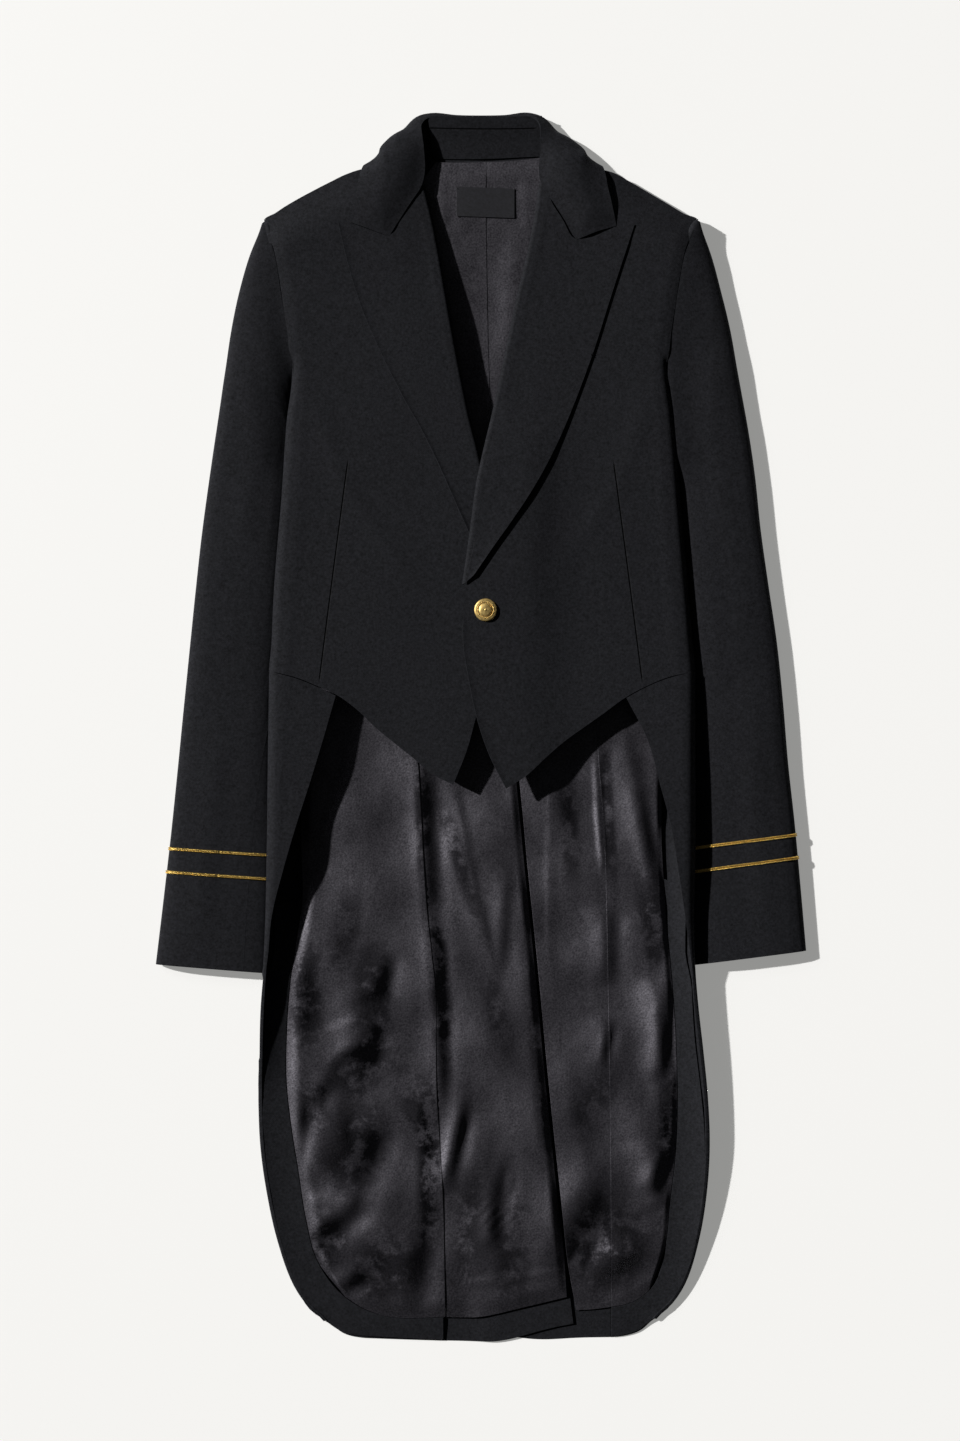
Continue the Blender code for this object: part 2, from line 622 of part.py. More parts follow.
def add_facing(side, materials):
    """The strip along the edge of the skirt, inside it."""
    shape = CUT[side]
    inner = joined(walk(shape["facing_line"], FACING_CELLS), walk(shape["lining_skirt_hem"], HEM_CELLS))
    begin = shape["facing_line"][0][1]
    down = [(x_on(shape["skirt_outer"], begin), begin)]
    down += [p for p in shape["skirt_outer"] if p[1] < begin - FACING_INSET]
    across = [down[-1]] + shape["skirt_hem"][-2::-1]
    centre = Vector((shape["skirt_seam"][0][0], -300))
    down, across = [[Vector(p) + (centre - Vector(p)).normalized() * FACING_INSET for p in run]
                    for run in (down, across)]
    across[-1].x = inner[-1].x
    outer = joined(walk(down, FACING_CELLS), walk(across, HEM_CELLS))
    plan = fill(outer, inner, walk([outer[0], inner[0]], 3), walk([outer[-1], inner[-1]], 3))
    grid = raised(plan, lambda x, y: skirt_height(side, x, y), LAYER + CURVE_CLEAR)
    grid = pulled_back(grid, ("last", "bottom"))
    add_sheet("facing_" + side, grid, FACING, materials["wool"], -1)


def add_linings(side, materials):
    shape = CUT[side]
    seam = walk(shape["lining_seam"], TAIL_CELLS)
    outer = joined(walk(shape["lining_side"], LINING_SIDE_CELLS), seam)
    beside = -LINING_FROM_VENT if side == "right" else LINING_FROM_VENT
    middle = CENTRE_BACK[:-1] + [(x + beside, y) for x, y in VENT_EDGE[:-1]]
    middle[0] = shape["lining_neck"][-1]
    middle.append(shape["lining_hem"][-1])
    columns = 7
    plan = fill(outer, walk(middle, len(outer) - 1), walk(shape["lining_neck"], columns),
                walk(shape["lining_hem"], columns))
    grid = raised(plan, lambda x, y: back_height(side, x, y, LINING_LEAD) + LAYER)
    add_sheet("lining_back_" + side, pulled_back(grid, ("first", "last")), LINING, materials["satin"], -1)
    outer = joined(walk(shape["lining_inside"], TAIL_CELLS - FACING_CELLS),
                   walk(shape["facing_line"], FACING_CELLS))
    hem = walk(shape["lining_skirt_hem"], HEM_CELLS)
    plan = fill(outer, seam, walk([outer[0], seam[0]], HEM_CELLS), hem)
    grid = raised(plan, lambda x, y: skirt_height(side, x, y), LAYER + CURVE_CLEAR)
    grid = pulled_back(grid, ("first", "last", "bottom"), SEAM_GAP)
    add_sheet("lining_skirt_" + side, grid, LINING, materials["satin"], -1)


def sleeve_section(side, out_y):
    """The sleeve's measures at this place of its outer fold."""
    rows = SLEEVE[side]
    for i in range(len(rows) - 1):
        if out_y >= rows[i + 1][1] or i == len(rows) - 2:
            return spline(rows, i + (rows[i][1] - out_y) / (rows[i][1] - rows[i + 1][1]))


def round_end(angle):
    """How far across the flat ring this angle lies, from -1 at the outer fold to 1 at the inner one."""
    turn = math.cos(math.radians(angle))
    return math.copysign(abs(turn) ** (SLEEVE_INNER_ROUND if turn > 0 else SLEEVE_OUTER_ROUND), turn)


def sleeve_point(section, angle, inset=0.0):
    """A point round the sleeve: 180 is the outer fold, 90 the top, 0 the inner fold, -90 underneath."""
    out_x, out_y, in_x, in_y, height, opened, seam = section
    opened = min(max(opened, 0), 1)
    across = Vector((in_x - out_x, in_y - out_y)).normalized() * inset
    outer = Vector((out_x, out_y)) + across
    inner = Vector((in_x, in_y)) - across * (1 - opened)
    end = max(mix(seam, 90, opened), 0) if opened else 0
    p = mix(outer, inner, (1 + round_end(angle)) / (1 + round_end(end)))
    rise = math.sin(math.radians(angle))
    flat = abs(rise) ** SLEEVE_FLATNESS
    if rise >= 0:
        return Vector((p.x, p.y, mix(SLEEVE_FOLD_HEIGHT, height - inset, flat)))
    return Vector((p.x, p.y, max(inset, SLEEVE_FOLD_HEIGHT * (1 - 1.2 * flat))))


def add_sleeve(side, materials):
    table = SLEEVE[side]
    rows, columns = 14, 12
    for part, begin, middle in (("top", SLEEVE_OUTER_SEAM, 90), ("under", SLEEVE_OUTER_SEAM - 360, -90)):
        faces = []
        for inset in (0.0, WOOL):
            grid = []
            for share in shares(rows):
                section = sleeve_section(side, mix(table[0][1], table[-1][1], share ** 1.25))
                end = mix(section[6], middle, min(max(section[5], 0), 1))
                grid.append([sleeve_point(section, mix(begin, end, u), inset) for u in shares(columns)])
            faces.append(pulled_back(grid, ("first", "last")))
        add_wall(f"sleeve_{part}_{side}", *faces, materials["wool"])


def add_braids(side, materials):
    hem = SLEEVE[side][-1][1]
    for name, above in BRAIDS_ABOVE_HEM.items():
        grid = []
        for offset in (-BRAID_WIDTH / 2, BRAID_WIDTH / 2):
            section = sleeve_section(side, hem + above + offset)
            line = []
            for angle in [mix(*BRAID_ANGLES, share) for share in shares(14)]:
                along = sleeve_point(section, angle - 1) - sleeve_point(section, angle + 1)
                normal = Vector((-along.z, 0, along.x)).normalized()
                normal *= math.copysign(1, normal.z)
                line.append(sleeve_point(section, angle) + normal * (BRAID_CLEAR + BRAID_THICK))
            grid.append(line)
        add_sheet(f"braid_{name}_{side}", grid, BRAID_THICK, materials["gold_braid"], 1)


def collar_section(row):
    fold, rim, edge, turn = Vector(row[0:3]), Vector(row[3:6]), Vector(row[6:9]), row[9]
    heel = mix(rim, edge, mix(0.5, 0.15, turn))
    heel.z = mix(heel.z + 0.3, 0.0, turn)
    return fold, rim, heel, edge


def add_collar(materials):
    rows, columns = 24, 7
    sections = [collar_section(row) for row in COLLAR]
    rails = [[section[i] for section in sections] for i in range(4)]
    grid = []
    for v in shares(rows):
        across = [spline(rail, v * (len(COLLAR) - 1)) for rail in rails]
        line = [spline(across, u * 3) for u in shares(columns)]
        for p in line:
            p.z = max(p.z, 0.0)
        grid.append(line)
    add_sheet("collar", grid, WOOL, materials["wool"], -1, (0.5, 0.9))


def add_stand(materials):
    low, high = walk(STAND_LOW, 8), walk(STAND_HIGH, 8)
    grid = [[mix(a, b, v) for a, b in zip(low, high)] for v in shares(3)]
    add_sheet("collar_stand", grid, WOOL, materials["wool"], -1)


def add_label(materials):
    width, height = LABEL_SIZE
    x, y = LABEL_CENTRE
    z = LAYER + LAYER + LINING + REST_GAP
    grid = [[Vector((x + width * (u - 0.5), y + height * (0.5 - v) - LABEL_TILT * (u - 0.5), z))
             for u in shares(4)] for v in shares(2)]
    add_sheet("label", grid, LABEL_THICK, materials["label_cloth"], -1)


def add_button(materials):
    """A domed metal button with a rolled rim and a short shank, turned about its axis."""
    x, y = BUTTON_CENTRE
    mesh = bpy.data.meshes.new("button")
    points = [(share * BUTTON_RADIUS * MM, 0, z * MM) for share, z in BUTTON_PROFILE]
    mesh.from_pydata(points, [(i, i + 1) for i in range(len(points) - 1)], [])
    made = add_object("button", mesh, materials["gold_metal"])
    made.location = Vector((x, y, front_top("left", x, y) + 2 * REST_GAP)) * MM
    turn = made.modifiers.new("turn", "SCREW")
    turn.steps = turn.render_steps = 24
    turn.use_merge_vertices = True
    turn.merge_threshold = 0.00001


def clear_scene():
    for thing in list(bpy.data.objects):
        bpy.data.objects.remove(thing, do_unlink=True)


clear_scene()
COAT = bpy.data.collections.new("tailcoat")
bpy.context.scene.collection.children.link(COAT)
FINISHES = make_materials()
for wearers in CUT:
    add_back(wearers, FINISHES)
    add_side(wearers, FINISHES)
    add_skirt(wearers, FINISHES)
    add_facing(wearers, FINISHES)
    add_linings(wearers, FINISHES)
    add_front(wearers, FINISHES)
    add_lapel(wearers, FINISHES)
    add_sleeve(wearers, FINISHES)
    add_braids(wearers, FINISHES)
add_collar(FINISHES)
add_stand(FINISHES)
add_label(FINISHES)
add_button(FINISHES)
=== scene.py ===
"""How the tailcoat looks: its cloth with seams, folds and weave, the trims, the floor and the light.

Each piece is made over its CAD solid, from the same named sizes, in millimetres until a mesh is made.
X runs to the wearer's left, Y from the hem to the collar and Z up from the surface that the coat lies on.
"""

import math

import bmesh
import bpy
import numpy as np
from mathutils import Matrix, Vector


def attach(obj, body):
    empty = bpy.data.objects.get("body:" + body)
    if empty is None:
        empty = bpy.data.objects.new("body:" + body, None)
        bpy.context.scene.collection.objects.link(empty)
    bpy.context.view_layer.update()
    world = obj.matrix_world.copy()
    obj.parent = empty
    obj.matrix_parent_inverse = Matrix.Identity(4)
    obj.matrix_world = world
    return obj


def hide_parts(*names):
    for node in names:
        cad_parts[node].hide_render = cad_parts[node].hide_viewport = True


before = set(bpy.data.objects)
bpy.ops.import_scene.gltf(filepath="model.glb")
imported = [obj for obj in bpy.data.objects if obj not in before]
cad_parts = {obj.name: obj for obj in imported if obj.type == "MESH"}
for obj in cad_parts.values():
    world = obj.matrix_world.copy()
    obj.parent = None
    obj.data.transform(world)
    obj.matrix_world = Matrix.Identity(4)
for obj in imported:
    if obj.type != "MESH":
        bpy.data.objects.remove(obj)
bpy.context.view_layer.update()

MM = 0.001

# Cloth, in mm
WOOL = 1.5
FRONT_WOOL = 1.8
LINING = 1.0
FACING = 1.2
SEAM_GAP = 0.3
REST_GAP = 0.3

# How far the layers stand up, in mm
LAYER = WOOL + REST_GAP
SHOULDER_ROUND = 13.0
SIDE_ROUND = 10.0
LAPEL_OVER_FRONT = 2.25
FRONT_INSIDE_ROLL = 4.2
BREAK_RUN = 8.0
NECK_LIFT = (426.0, 454.0)
VENT_LIFT_RUN = 26.0
VENT_LIFT_CLEAR = 10.0
VENT_LIFT_TOP = 22.0
LINING_LEAD = 12.0
LINING_FROM_VENT = 1.2
CURVE_CLEAR = 0.8
FACING_INSET = 7.5
UNDERARM_TOP = 330.0
UNDERARM_RUN = 42.0

# Trims, in mm
BUTTON_RADIUS = 10.0
BUTTON_CENTRE = (4.0, 104.0)
BRAID_WIDTH = 3.0
BRAIDS_ABOVE_HEM = {"upper": 102.0, "lower": 80.5}
LABEL_SIZE = (51.0, 26.0)
LABEL_CENTRE = (4.0, 464.0)
LABEL_THICK = 0.6
LABEL_TILT = 1.5
BRAID_CLEAR = 0.35
BRAID_ANGLES = (174.0, 4.0)
# The band under the braid's strands: share of its half width, height over the cloth
BAND_SECTION = [(-0.9, 0.65), (0.9, 0.65), (1, 0.05), (-1, 0.05)]
STRAND_PITCH = 1.15
STRAND_TURN = 34.0
STRAND_AXES = (0.85, 0.34, 0.36)
ROPE_BEADS = 40
ROPE_RADIUS = 7.1
ROPE_AXES = (0.75, 0.36, 0.42)
ROSETTE_PETALS = 8
ROSETTE_RADIUS = 3.0
PETAL_AXES = (1.7, 0.75, 0.34)
CENTRE_AXES = (1.1, 1.1, 0.45)
LABEL_RISE = 0.1
TACK_HEIGHT = 328.0

# How thick the cloth is shown, as a share of its solid, and how round its edges are
THINNED = {"lapel": 0.7, "label": 0.4, "lining": 0.6}
EDGE_ROUND = {"wool": 0.4, "satin": 0.2, "label_cloth": 0.08}
# How far one lining laps over the next, and how much higher each lies than the one beside it
LINING_LAP = 1.7
LINING_STEP = {"lining_skirt_right": 1.05, "lining_back_right": 0.7, "lining_back_left": 0.35,
               "lining_skirt_left": 0}
# The share of the armhole along which its seam shows, and how far the seam's line sinks
ARMHOLE_SHOWN = 0.385
ARMHOLE_SINK = (1.5, 4.0)

# Height of the fronts along the shoulder seam: distance from the middle of the coat, z
SHOULDER_RIDGE = [(190, 5.2), (105, 5.6), (50, 9)]
# Height of the fronts' outer face: y, z
FRONT_TOP = [(505, 11), (470, 13), (430, 14), (380, 15), (300, 16), (200, 16.5), (100, 17), (40, 18),
             (-60, 18)]
# How far the free edge of a lapel stands off the front: y, z
LAPEL_EDGE_LIFT = [(450, 0.1), (300, 0.3), (200, 1.2), (110, 1.4)]
# How much the upper front is raised by the one it covers: y, z
OVERLAP_RAISE = [(280, 0), (240, 4.6), (215, 5.7), (125, 5.7), (95, 3.8), (60, 2.8), (-60, 2.4)]
OVERLAP_FADE = (35.0, 85.0)
# Edge of the skirt, where its cloth turns up from the floor: y, rise of the edge, width of the turn
SKIRT_RISE = {
    "right": [(50, 13, 24), (-27, 15, 26), (-106, 16, 28), (-186, 13.5, 28), (-250, 12, 30), (-290, 8, 30),
              (-325, 3.2, 26), (-414, 2.4, 24), (-505, 1.6, 20), (-541, 1.0, 16)],
    "left": [(50, 13, 24), (-27, 15, 26), (-106, 16, 28), (-186, 15, 30), (-250, 14, 34), (-360, 12, 36),
             (-414, 9, 32), (-467, 5.5, 28), (-505, 2.6, 22), (-541, 1.2, 16)],
}
# Top of the skirt where it folds back over itself: y, z
SKIRT_TOP = {
    "right": [(50, 19), (-27, 22), (-106, 22.5), (-150, 19.5), (-190, 15.4), (-250, 9.4), (-310, 6.4),
              (-414, 5.4), (-505, 4.4), (-541, 3.8)],
    "left": [(50, 19), (-27, 22), (-106, 22.5), (-150, 20.5), (-190, 18.4), (-250, 17.2), (-360, 15.2),
             (-414, 12), (-467, 8.4), (-505, 5.4), (-541, 4.0)],
}

# Curves as (x, y), from collar to hem unless it says otherwise
CENTRE_BACK = [(3, 502), (3, 440), (6, 300), (14, 150), (26, 10), (32, -40)]
VENT_EDGE = [(32, -40), (40, -124), (49, -212), (58, -309), (69, -414), (78, -494), (82, -526)]
UNDERLAP_EDGE = [(32, -40), (16, -72), (2, -110), (-6, -160), (-6, -212), (2, -309), (13, -414),
                 (21, -500), (22, -537)]

CUT = {
    "right": {
        "shoulder": [(-190, 446), (-175, 458), (-151, 472), (-123, 486), (-104, 493), (-78, 488),
                     (-53, 480)],
        "armhole_side": [(-190, 446), (-184, 430), (-177, 395), (-172, 360), (-168, 334), (-166, 303),
                         (-170, 263), (-174, 202), (-180, 131), (-183, 70), (-185, 50.6)],
        "roll": [(-53, 480), (-43, 439), (-32, 378), (-22, 325), (-11, 272), (0, 228), (11, 166),
                 (18, 111)],
        "front_edge": [(18, 111), (15, 78), (8, 50), (-3, 15), (-11, -14), (-20.2, -45.3), (-24.5, -49.5)],
        "front_hem": [(-185, 50.6), (-159, 43.4), (-128, 29.7), (-114, 21), (-92, 0), (-53.5, -31),
                      (-39.6, -42.7), (-24.5, -49.5)],
        "lapel_outer": [(-126, 446), (-117, 408), (-103, 364), (-75, 303), (-45, 248), (-10, 170),
                        (13, 122)],
        "lapel_top": [(-51, 479), (-81, 431), (-126, 446)],
        "back_neck": [(-188.6, 445), (-151, 470.5), (-106, 487.5), (-90, 486.5), (-76, 493), (-60, 501.6),
                      (3, 501.5)],
        "back_armhole": [(-188.6, 445), (-182, 428), (-176.5, 395), (-171.5, 370)],
        "back_seam": [(-171.5, 370), (-150, 300), (-112, 200), (-84, 100), (-68, 50)],
        "back_hem": [(-33, -541), (0, -541.5), (18, -541), (43, -535), (61, -530), (82, -526)],
        "side_outer": [(-172.5, 364), (-166, 334), (-157, 303), (-153, 286), (-158, 263), (-162, 202),
                       (-168, 131), (-171, 70), (-173, 50)],
        "skirt_seam": [(-68, 50), (-57, -29), (-50, -150), (-41, -238), (-41, -309), (-35, -414),
                       (-33, -541)],
        "skirt_outer": [(-185, 50), (-186, -27), (-187, -106), (-189, -186), (-193, -247), (-195, -313),
                        (-194, -362), (-187, -414), (-174, -467), (-157, -505), (-140, -526)],
        "skirt_hem": [(-33, -541), (-80, -539.5), (-115, -537), (-140, -526)],
        "skirt_front": [(-128, 29), (-146, -34), (-160, -76), (-174, -124), (-186, -172), (-189, -196)],
        "lining_side": [(-40, 500), (-60, 470), (-90, 420), (-95, 330), (-88, 200), (-78, 100), (-66, 44)],
        "lining_neck": [(-40, 500), (-18, 499.5), (3, 500)],
        "lining_hem": [(-33, -520), (0, -519.5), (34, -512), (76, -502)],
        "lining_inside": [(-158, 44), (-159, -27), (-159, -106), (-158, -150)],
        "facing_line": [(-158, -150), (-164, -190), (-171, -247), (-172, -313), (-166, -362), (-158, -410),
                        (-148, -463), (-120, -502)],
        "lining_skirt_hem": [(-120, -502), (-98, -515), (-71, -521), (-33, -520)],
    },
    "left": {
        "shoulder": [(190, 446), (171, 458), (146, 473), (121, 487), (106, 493), (78, 488), (51, 480)],
        "armhole_side": [(190, 446), (182, 430), (174, 395), (169, 360), (165, 334), (165, 303), (169, 263),
                         (174, 202), (180, 131), (185, 70), (187, 50.6)],
        "roll": [(51, 480), (45, 439), (33, 386), (21, 329), (9, 272), (-3, 219), (-10, 166), (-18, 111)],
        "front_edge": [(-18, 111), (-16, 78), (-11, 43), (-3, 6), (7, -23), (16.7, -45.3), (22, -53)],
        "front_hem": [(187, 50.6), (158, 42.6), (128, 27.7), (105, 11), (70, -14), (45, -37), (37, -43.6),
                      (22, -53)],
        "lapel_outer": [(135, 443), (115, 382), (96, 323), (70, 257), (43, 206), (8, 155), (-14, 122)],
        "lapel_top": [(52, 479), (84, 428), (135, 443)],
        "back_neck": [(188.6, 445), (151, 470.5), (106, 487.5), (92, 487), (78, 494), (62, 501.6),
                      (3, 501.5)],
        "back_armhole": [(188.6, 445), (179.5, 428), (172, 395), (168.5, 370)],
        "back_seam": [(168.5, 370), (152, 300), (122, 200), (103, 100), (99, 50)],
        "back_hem": [(115, -538), (87, -538.5), (52, -540), (22, -537)],
        "side_outer": [(169.2, 364), (163.5, 334), (156, 303), (152.6, 286), (157, 263), (162, 202),
                       (168, 131), (173, 70), (175, 50)],
        "skirt_seam": [(99, 50), (104, -36), (109, -106), (112, -238), (114, -370), (115, -538)],
        "skirt_outer": [(187, 50), (187, -27), (187, -106), (186, -186), (190, -247), (197, -309),
                        (200, -362), (197, -414), (187, -467), (170, -509), (156, -524)],
        "skirt_hem": [(115, -538), (128, -536.5), (143, -532), (156, -524)],
        "skirt_front": [(128, 27), (143, 4), (153, -32), (168, -89), (175, -133), (184, -196)],
        "lining_side": [(53, 504), (66, 470), (90, 420), (95, 330), (96, 200), (97, 100), (99, 44)],
        "lining_neck": [(53, 504), (28, 501), (3, 500)],
        "lining_hem": [(115, -511), (100, -513), (84, -514)],
        "lining_inside": [(159, 44), (160, -27), (160, -106), (162, -133)],
        "facing_line": [(162, -133), (166, -186), (171, -238), (174, -309), (173, -366), (167, -419),
                        (161, -467), (149, -496)],
        "lining_skirt_hem": [(149, -496), (139, -504), (127, -509), (115, -511)],
    },
}

# Sleeve sections, shoulder to cuff. Each is a line from the outer fold to the inner one, both as x and y.
# open is 1 where the section opens into the armhole. seam is the angle of the inner seam, over the fold.
SLEEVE = {
    "right": [
        # out_x, out_y, in_x, in_y, height, open, seam
        (-193.4, 442.6, -190.5, 444, 7.6, 1.0, -40),
        (-199.6, 430, -184.4, 429, 12.0, 1.0, -40),
        (-208, 404, -179.1, 402, 13.4, 1.0, -40),
        (-216, 374, -174.3, 372, 13.8, 1.0, -40),
        (-223, 335, -168.5, 335, 13.8, 1.0, -40),
        (-229, 292, -165.2, 296, 13.2, 0.3, -40),
        (-236, 246, -168.6, 250, 13.0, 0.0, -40),
        (-247, 166, -174.8, 170, 13.0, 0.0, -40),
        (-258, 61, -181.2, 62, 13.0, 0.0, -5),
        (-266, -20, -184.0, -22, 12.6, 0.0, 41),
        (-275, -106, -184.6, -112, 12.2, 0.0, 59),
        (-287, -208, -187.5, -216, 12.0, 0.0, 62),
    ],
    "left": [
        (193.4, 442.6, 190.5, 444, 7.6, 1.0, -40),
        (200, 427, 182.0, 427, 12.0, 1.0, -40),
        (208, 400, 175.4, 398, 13.4, 1.0, -40),
        (216, 368, 170.4, 368, 13.8, 1.0, -40),
        (224, 332, 165.5, 335, 13.8, 1.0, -40),
        (230, 292, 164.0, 296, 13.2, 0.3, -40),
        (239, 246, 167.6, 250, 13.0, 0.0, -40),
        (248, 166, 174.4, 170, 13.0, 0.0, -40),
        (263, 61, 182.6, 62, 13.0, 0.0, -40),
        (270, -20, 184.6, -22, 12.6, 0.0, -40),
        (278, -95, 184.6, -107, 12.2, 0.0, -40),
        (287, -196, 184.0, -209, 12.0, 0.0, -40),
    ],
}
SLEEVE_FOLD_HEIGHT = 4.0
SLEEVE_OUTER_SEAM = 216.0
SLEEVE_OUTER_ROUND = 0.5
SLEEVE_INNER_ROUND = 0.75
SLEEVE_FLATNESS = 0.75

# How the front's cloth goes round the side: distance in from the fold, share of its height
SIDE_SECTION = [(11.5, 0.0), (8.6, 0.0), (5.5, 0.18), (2.2, 0.45), (0.0, 0.72), (2.4, 0.90)]
# The same points where the cloth stops at the armhole
ARMHOLE_SECTION = [(0.0, 0.90), (1.4, 0.92), (2.8, 0.94), (4.2, 0.955), (5.8, 0.97), (7.4, 0.985)]
# How the lapel rolls at its fold: distance in from the roll line, depth under its top
LAPEL_ROLL = [(1.1, 3.6), (0.0, 1.7), (1.2, 0.4), (4.0, 0.0)]
# How the skirt's edge folds over: share of the bend's run, share of its climb
SKIRT_FOLD = [(0.12, 0.52), (0.45, 0.86), (1.0, 1.0)]
SKIRT_BEND = 9.0
SKIRT_LIP = 2.2
WAIST_GAP = 0.5
SKIRT_CROWDING = 1.6

# Collar leaf sections, from the right notch round the back to the left one. fold is the line that it
# turns over, rim the outermost line, edge its free edge, turn how far it has gone round to below.
COLLAR = [
    # fold x, y, z, rim x, y, z, edge x, y, z, turn
    (-81, 432.6, 18.6, -98, 439, 19.4, -115, 445, 19.2, 0),
    (-66, 456.5, 18.8, -88, 461, 19.8, -112, 462, 18.4, 0),
    (-51, 481, 18.6, -80, 484, 19.6, -108, 479, 16.4, 0),
    (-50, 502, 17.4, -82, 503, 17.0, -103, 495, 10.5, 0),
    (-51, 518, 15.6, -84, 514, 10.0, -94, 491, 0.6, 0.85),
    (-52, 532, 13.0, -68, 529, 6.5, -72, 489, 0, 1),
    (-44, 537, 9.8, -52, 540.9, 5.0, -46, 489, 0, 1),
    (-16, 536, 8.9, -17, 539.5, 4.4, -14, 489, 0, 1),
    (16, 536, 8.9, 17, 539.5, 4.4, 14, 489, 0, 1),
    (42, 538, 9.8, 50, 540.9, 5.0, 46, 489, 0, 1),
    (51, 532, 13.0, 68, 526, 6.5, 74, 489, 0, 1),
    (52, 518, 15.6, 86, 512, 10.0, 98, 491, 0.6, 0.85),
    (52, 502, 17.4, 86, 502, 17.0, 107, 494, 10.5, 0),
    (52, 481, 18.6, 82, 484, 19.6, 111, 477, 16.4, 0),
    (68, 456, 18.8, 92, 461, 19.8, 115, 461, 18.4, 0),
    (84, 429.6, 18.6, 102, 437, 19.4, 119, 442, 19.2, 0),
]

# The inner face of the collar's stand, along the neck seam and under the fold, as (x, y, z)
STAND_LOW = [(-42, 502.6, 1.8), (0, 502.6, 1.8), (54, 505.2, 1.8)]
STAND_HIGH = [(-47, 535.2, 7.4), (0, 534.8, 7.0), (50, 535.2, 7.4)]

# Half of the button's section: share of its radius, z
BUTTON_PROFILE = [(0, 4.6), (0.30, 4.45), (0.52, 3.95), (0.62, 3.35), (0.68, 3.3), (0.76, 3.45),
                  (0.90, 3.2), (0.98, 2.5), (1.0, 1.9), (0.96, 1.4), (0.80, 1.1), (0.30, 0.9),
                  (0.26, 0.0), (0, 0)]

# Rows of cells along the seams, which the pieces on both sides share
ARMHOLE_CELLS = 3
SIDE_CELLS = 7
TAIL_CELLS = 14
FACING_CELLS = 9
HEM_CELLS = 5
LINING_SIDE_CELLS = 9
SKIRT_COLUMNS = 8

# How much finer than the CAD each piece's grid is: along its rows, across them
FINER = {
    "back": (4, 4), "side": (4, 4), "skirt": (6, 5), "facing": (6, 5), "lining_back": (12, 9),
    "lining_skirt": (12, 9), "front": (8, 6), "lapel": (9, 5), "sleeve_top": (9, 6),
    "sleeve_under": (6, 4), "collar": (5, 6), "collar_stand": (5, 6), "label": (4, 5),
}
# Each cut of cloth laid flat, in m: width, length, area
CUT_SIZES = {
    "back_right": (0.190, 1.045, 0.120), "back_left": (0.190, 1.045, 0.117),
    "side_right": (0.090, 0.325, 0.0147), "side_left": (0.090, 0.325, 0.0113),
    "skirt_right": (0.170, 0.590, 0.0907), "skirt_left": (0.120, 0.590, 0.0538),
    "facing_right": (0.060, 0.460, 0.0098), "facing_left": (0.050, 0.440, 0.0085),
    "front_right": (0.210, 0.540, 0.0820), "front_left": (0.210, 0.540, 0.0824),
    "lapel_right": (0.110, 0.360, 0.0167), "lapel_left": (0.110, 0.360, 0.0198),
    "lining_back_right": (0.120, 1.020, 0.0950), "lining_back_left": (0.120, 1.020, 0.0697),
    "lining_skirt_right": (0.140, 0.570, 0.0638), "lining_skirt_left": (0.075, 0.560, 0.0298),
    "sleeve_top_right": (0.125, 0.660, 0.0530), "sleeve_top_left": (0.125, 0.660, 0.0530),
    "sleeve_under_right": (0.115, 0.660, 0.0450), "sleeve_under_left": (0.115, 0.660, 0.0446),
    "collar": (0.400, 0.080, 0.0180), "collar_stand": (0.108, 0.036, 0.0032),
    "label": (0.051, 0.026, 0.0013),
}

# Folds laid in the satin: width of the left flank and of the right one, height, and the line
# of the ridge
SATIN_FOLDS = [
    (16, 12, 1.3, [(-57, -24), (-55, -60), (-51, -110), (-48, -160)]),
    (10, 12, 1.4, [(-46, -168), (-44, -200), (-42, -242)]),
    (14, 12, 1.4, [(-42, -240), (-42, -310), (-38, -350), (-35, -420), (-35, -500)]),
    (12, 7, 2.2, [(-19, -325), (-24, -370), (-28, -412)]),
    (10, 5, 1.5, [(-24, -50), (-14, -107), (-2, -160), (12, -222)]),
    (12, 8, 1.8, [(0, -368), (4, -420), (8, -460)]),
    (22, 12, 2.4, [(-108, -185), (-100, -215), (-92, -238)]),
    (20, 12, 2.4, [(-120, -255), (-108, -284)]),
    (14, 10, 2.0, [(-140, -290), (-128, -340), (-118, -385)]),
    (9, 9, 2.6, [(-154, -420), (-130, -413), (-106, -418)]),
    (20, 14, 2.0, [(-88, -400), (-80, -450), (-72, -500)]),
    (8, 7, 2.0, [(-174, -330), (-167, -390)]),
    (3, 6, 1.4, [(101, -24), (103, -80), (108, -128)]),
    (14, 10, 1.6, [(103, -155), (108, -228)]),
    (12, 8, 1.6, [(104, -252), (106, -300)]),
    (3.5, 6, 0.6, [(61, -44), (60, -110), (60, -205)]),
    (16, 9, 3.2, [(122, 4), (134, -50), (146, -100), (158, -140), (166, -178)]),
    (14, 8, 3.0, [(149, -220), (154, -270), (158, -314)]),
    (16, 10, 2.2, [(142, -362), (150, -400), (158, -424)]),
    (22, 12, 2.0, [(70, -296), (84, -360), (98, -420), (128, -455), (158, -466)]),
    (1.3, 1.3, -0.6, [(-16, -485), (0, -483), (34, -478), (74, -472)]),
    (3, 3, 0.9, [(-16, -491), (0, -489), (34, -484), (74, -478)]),
    (9, 9, 0.8, [(-26, 430), (-22, 370), (-16, 300)]),
    (9, 9, 0.8, [(30, 440), (26, 380), (16, 310)]),
]
